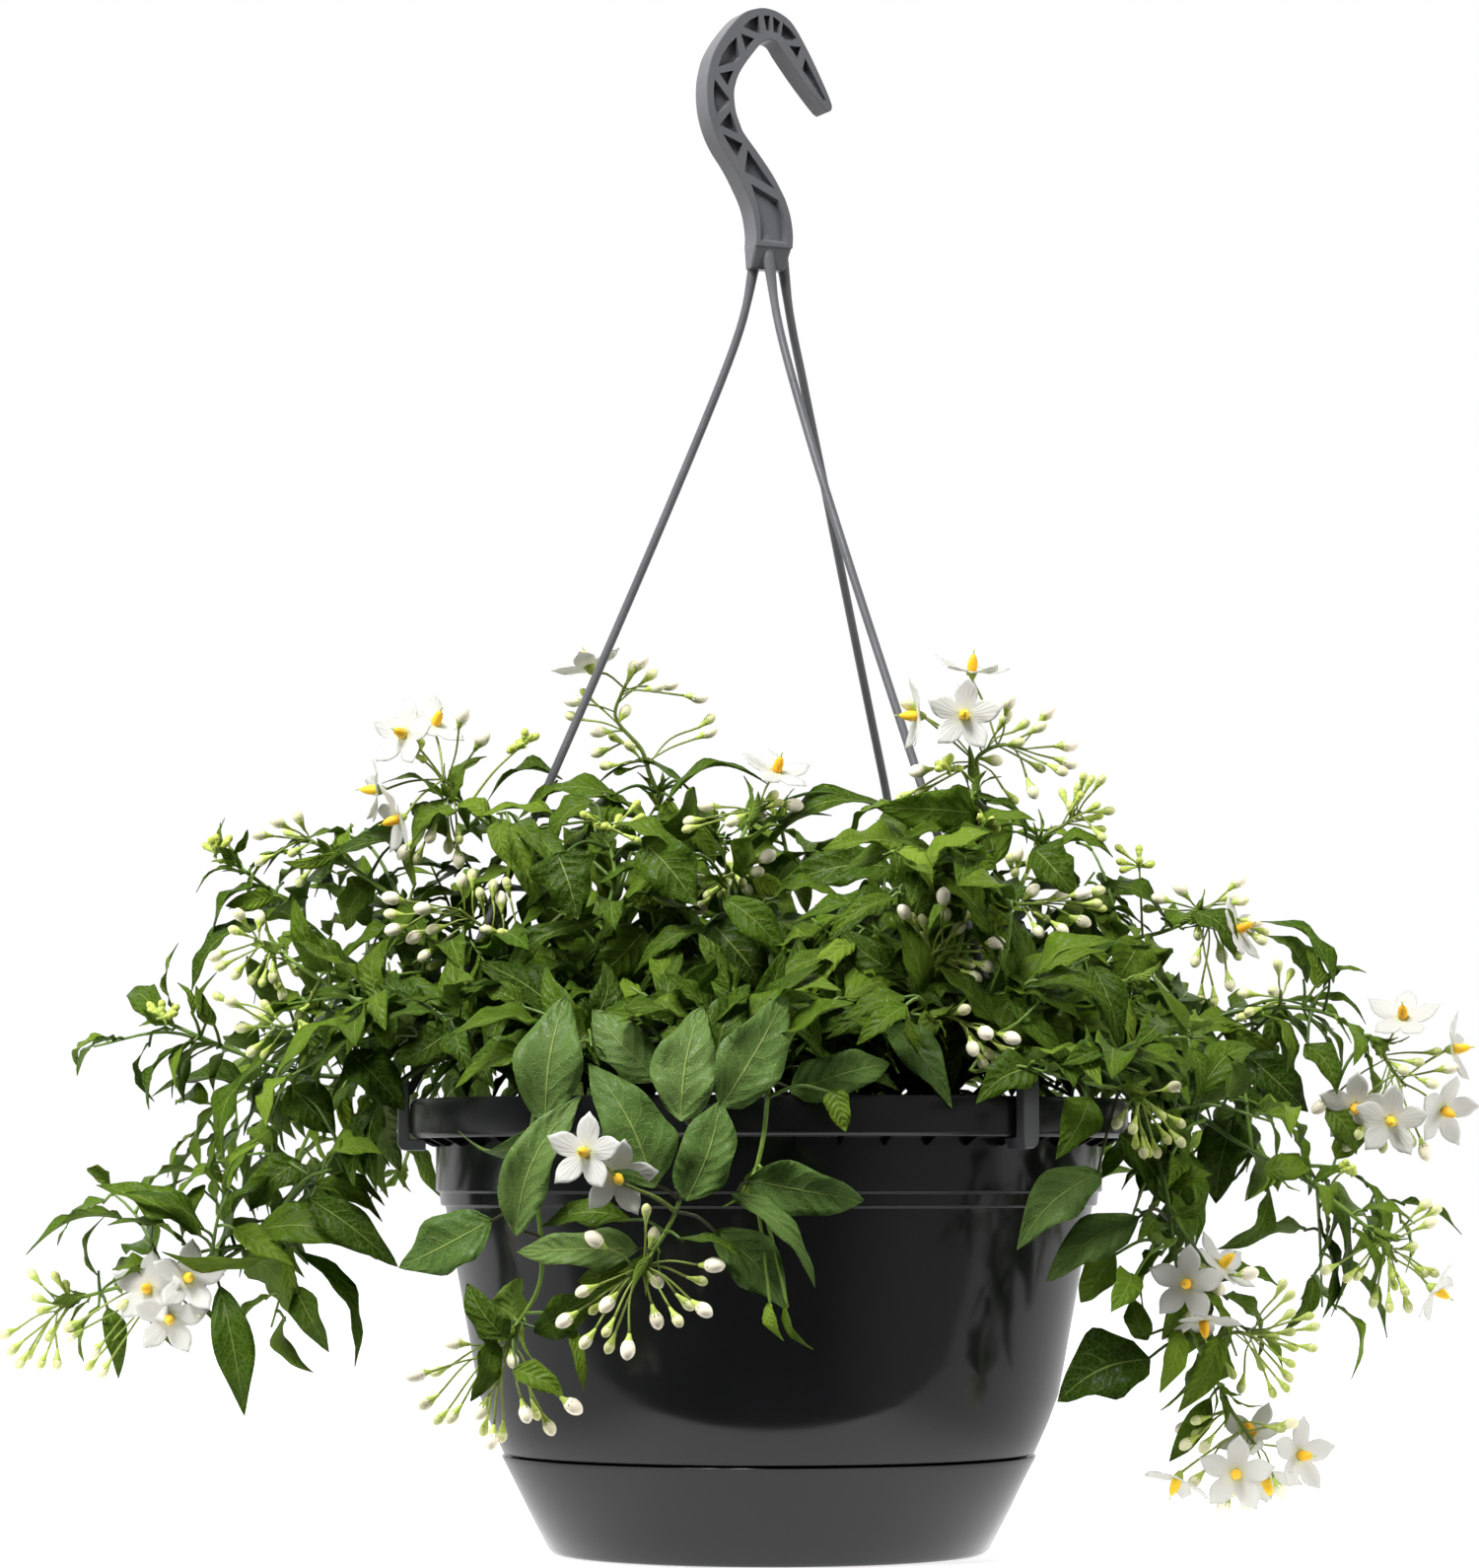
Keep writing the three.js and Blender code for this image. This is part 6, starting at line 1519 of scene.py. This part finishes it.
# %% [markdown]
# Petals are matt and nearly pure white, with seven fine lengthwise ribs each and a pale green eye, and
# let some light through. Buds go from yellow green to warm cream as they ripen, which each point's own
# number tells the finish. Anthers are dusted with pollen. Its grains are far too fine to show, so they
# are drawn at 0.6 mm.

# %% Bloom finishes
RIB_ANGLE = 44.0


def petal_finish():
    petal = new_finish("white_petal_tissue")
    split = add_node(petal, "SeparateXYZ", Vector=add_node(petal, "UVMap", uv_map="blade"))
    ribs = add_node(petal, "Math", operation="MULTIPLY", i0=split.outputs[0], i1=RIB_ANGLE)
    ribs = add_node(petal, "Math", operation="SINE", i0=ribs)
    eye = add_node(petal, "MapRange", **SMOOTH, Value=split.outputs[1], i1=0.1, i2=0.32, i3=0.0, i4=1.0)
    tone = add_node(petal, "ValToRGB", stops=[(0.0, "#d9dea8"), (1.0, "#dadad6")], Fac=eye)
    relief = add_node(petal, "Bump", Height=ribs, Strength=0.2, Distance=0.2 * MM)
    skin = add_node(petal, "BsdfPrincipled", Base_Color=tone, Roughness=0.6, Normal=relief)
    through = add_node(petal, "BsdfTranslucent", Color=linear("#f4f3ec"))
    return show(petal, add_node(petal, "MixShader", i0=0.36, i1=skin, i2=through))


def two_tone(name, key, low, high, grain_mm, roughness):
    finish = new_finish(name)
    where = add_node(finish, "TexCoord").outputs["Object"]
    share = add_node(finish, "Attribute", attribute_name=key).outputs["Fac"]
    grain = add_node(finish, "TexNoise", Vector=where, Scale=1 / (grain_mm * MM), Detail=1.0)
    share = add_node(finish, "Math", operation="MULTIPLY_ADD", i0=grain, i1=0.3, i2=share)
    tone = add_node(finish, "ValToRGB", stops=[(0.15, low), (0.95, high)], Fac=share)
    relief = add_node(finish, "Bump", Height=grain, Strength=0.06, Distance=0.2 * MM)
    return show(finish, add_node(finish, "BsdfPrincipled", Base_Color=tone, Roughness=roughness,
                                 Normal=relief))


bloom_finishes = [
    petal_finish(),
    two_tone("bud_petals_green_to_cream", "age_and_sheen", "#b5c254", "#fff5de", 2.0, 0.42),
    two_tone("green_calyx_and_pedicel", "age_and_sheen", "#4d5f26", "#afc258", 1.5, 0.48),
    two_tone("pollen_yellow_anthers", "draw", "#f0ab12", "#ffcf2e", 0.6, 0.55),
]

# %% Blooms as pieces
for spray in sprays:
    piece = made_body(spray["body"], spray["name"].replace("spray_", "bloom_"), bloom_finishes)
    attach(piece, "root")
    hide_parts(spray["name"])
    spray["piece"] = piece
print("blooms:", sum(len(spray["piece"].data.polygons) for spray in sprays), "faces")

# %% [markdown]
# ## Studio
# The picture was taken on a white table in front of a white backdrop. The table's front edge lies a
# hand's breadth ahead of the pot, and the room on the camera's side is dark, so the glossy wall shows
# black above and a lighter field below, with the edge as an arc between them. The field fades to both
# sides, and the wall's outer edges take bright streaks from the backdrop. What glossy skins mirror is
# therefore set apart from what lights the rest, and the camera sees plain white. Soft lamps above and
# at the sides model the leaves.

# %% Floor
FLOOR_FRONT, FLOOR_BACK, FLOOR_SIDE, FLOOR_HEIGHT = -0.155, 16, 12, -0.3
bpy.ops.mesh.primitive_plane_add(size=1, location=placed((0, 0, FLOOR_HEIGHT)))
floor = bpy.context.object
floor.name = "studio_floor"
for corner in floor.data.vertices:
    corner.co.x = math.copysign(FLOOR_SIDE, corner.co.x)
    corner.co.y = FLOOR_FRONT if corner.co.y < 0 else FLOOR_BACK
pale = new_finish("pale_studio_floor")
ray = add_node(pale, "LightPath")
own_light = add_node(pale, "Math", operation="MULTIPLY_ADD", i0=ray.outputs["Is Camera Ray"], i1=0.15, i2=0.6)
sheet = add_node(pale, "BsdfPrincipled", Base_Color=linear("#fbfbfb"), Roughness=0.6,
                 Emission_Color=linear("#ffffff"), Emission_Strength=own_light)
across = add_node(pale, "SeparateXYZ", Vector=add_node(pale, "TexCoord").outputs["Object"])
off_centre = add_node(pale, "Math", operation="ABSOLUTE", i0=across.outputs[0])
fading = add_node(pale, "MapRange", **SMOOTH, Value=off_centre, i1=0.07, i2=0.18, i3=1.4, i4=0.68)
mirrored_sheet = add_node(pale, "Emission", Color=linear("#ffffff"), Strength=fading)
show(pale, add_node(pale, "MixShader", i0=ray.outputs["Is Glossy Ray"], i1=sheet, i2=mirrored_sheet))
floor.data.materials.append(pale)

# %% Surround
world = bpy.data.worlds.new("studio_surround")
bpy.context.scene.world = world
world.use_nodes = True
world.node_tree.nodes.clear()
split = add_node(world, "SeparateXYZ", Vector=add_node(world, "TexCoord").outputs["Generated"])
right, back = split.outputs[0], split.outputs[1]
lit = add_node(world, "MapRange", **SMOOTH, Value=back, i1=-0.35, i2=0.25, i3=0.12, i4=0.36)
askew = add_node(world, "Math", operation="MULTIPLY_ADD", i0=right, i1=-0.2, i2=back)
streak = add_node(world, "MapRange", **SMOOTH, Value=askew, i1=0.4, i2=0.92, i3=0.08, i4=1.0)
wall = add_node(world, "MapRange", **SMOOTH, Value=right, i1=0.1, i2=0.8, i3=0.0, i4=0.3)
mirrored = add_node(world, "Math", operation="MAXIMUM", i0=streak, i1=wall)
path = add_node(world, "LightPath")
chosen = add_node(world, "Mix", i0=path.outputs["Is Glossy Ray"], i2=lit, i3=mirrored)
strength = add_node(world, "Math", operation="MAXIMUM", i0=chosen, i1=path.outputs["Is Camera Ray"])
background = add_node(world, "Background", Color=linear("#ffffff"), Strength=strength)
add_node(world, "OutputWorld", Surface=background)
print("surround with", len(world.node_tree.nodes), "nodes")

# %% Lamps


def soft_lamp(name, place, aim, size, watts, mirrored=True):
    bpy.ops.object.light_add(type="AREA", location=place)
    lamp = bpy.context.object
    lamp.name = name
    lamp.data.shape = "DISK"
    lamp.data.size = size
    lamp.data.energy = watts
    lamp.visible_glossy = mirrored
    lamp.rotation_euler = (Vector(aim) - Vector(place)).to_track_quat("-Z", "Y").to_euler()
    print(name, size, "m across,", watts, "W")


soft_lamp("overhead_softbox", (-0.5, -0.9, 1.2), (0, 0, -0.35), 0.8, 57)
soft_lamp("left_softbox", (-1.8, -0.9, 0.2), (0, 0, -0.4), 0.7, 24, False)
soft_lamp("right_softbox", (1.9, -0.5, 0.1), (0, 0, -0.4), 0.7, 23, False)

# %% Camera, where the picture was taken from
CAMERA_LENS, CAMERA_PITCH = 121.8, 4.22
camera = bpy.data.cameras.new("camera")
camera.sensor_fit = "VERTICAL"
camera.sensor_height = 36
camera.lens = CAMERA_LENS
camera.clip_end = 60
eye = added("camera", camera)
eye.location = placed(EYE)
eye.rotation_euler = (math.radians(90 + CAMERA_PITCH), 0, 0)
bpy.context.scene.camera = eye
bpy.context.scene.view_settings.view_transform = "Standard"
print("camera at", [round(part, 3) for part in eye.location], "m, pitched up", CAMERA_PITCH, "degrees")
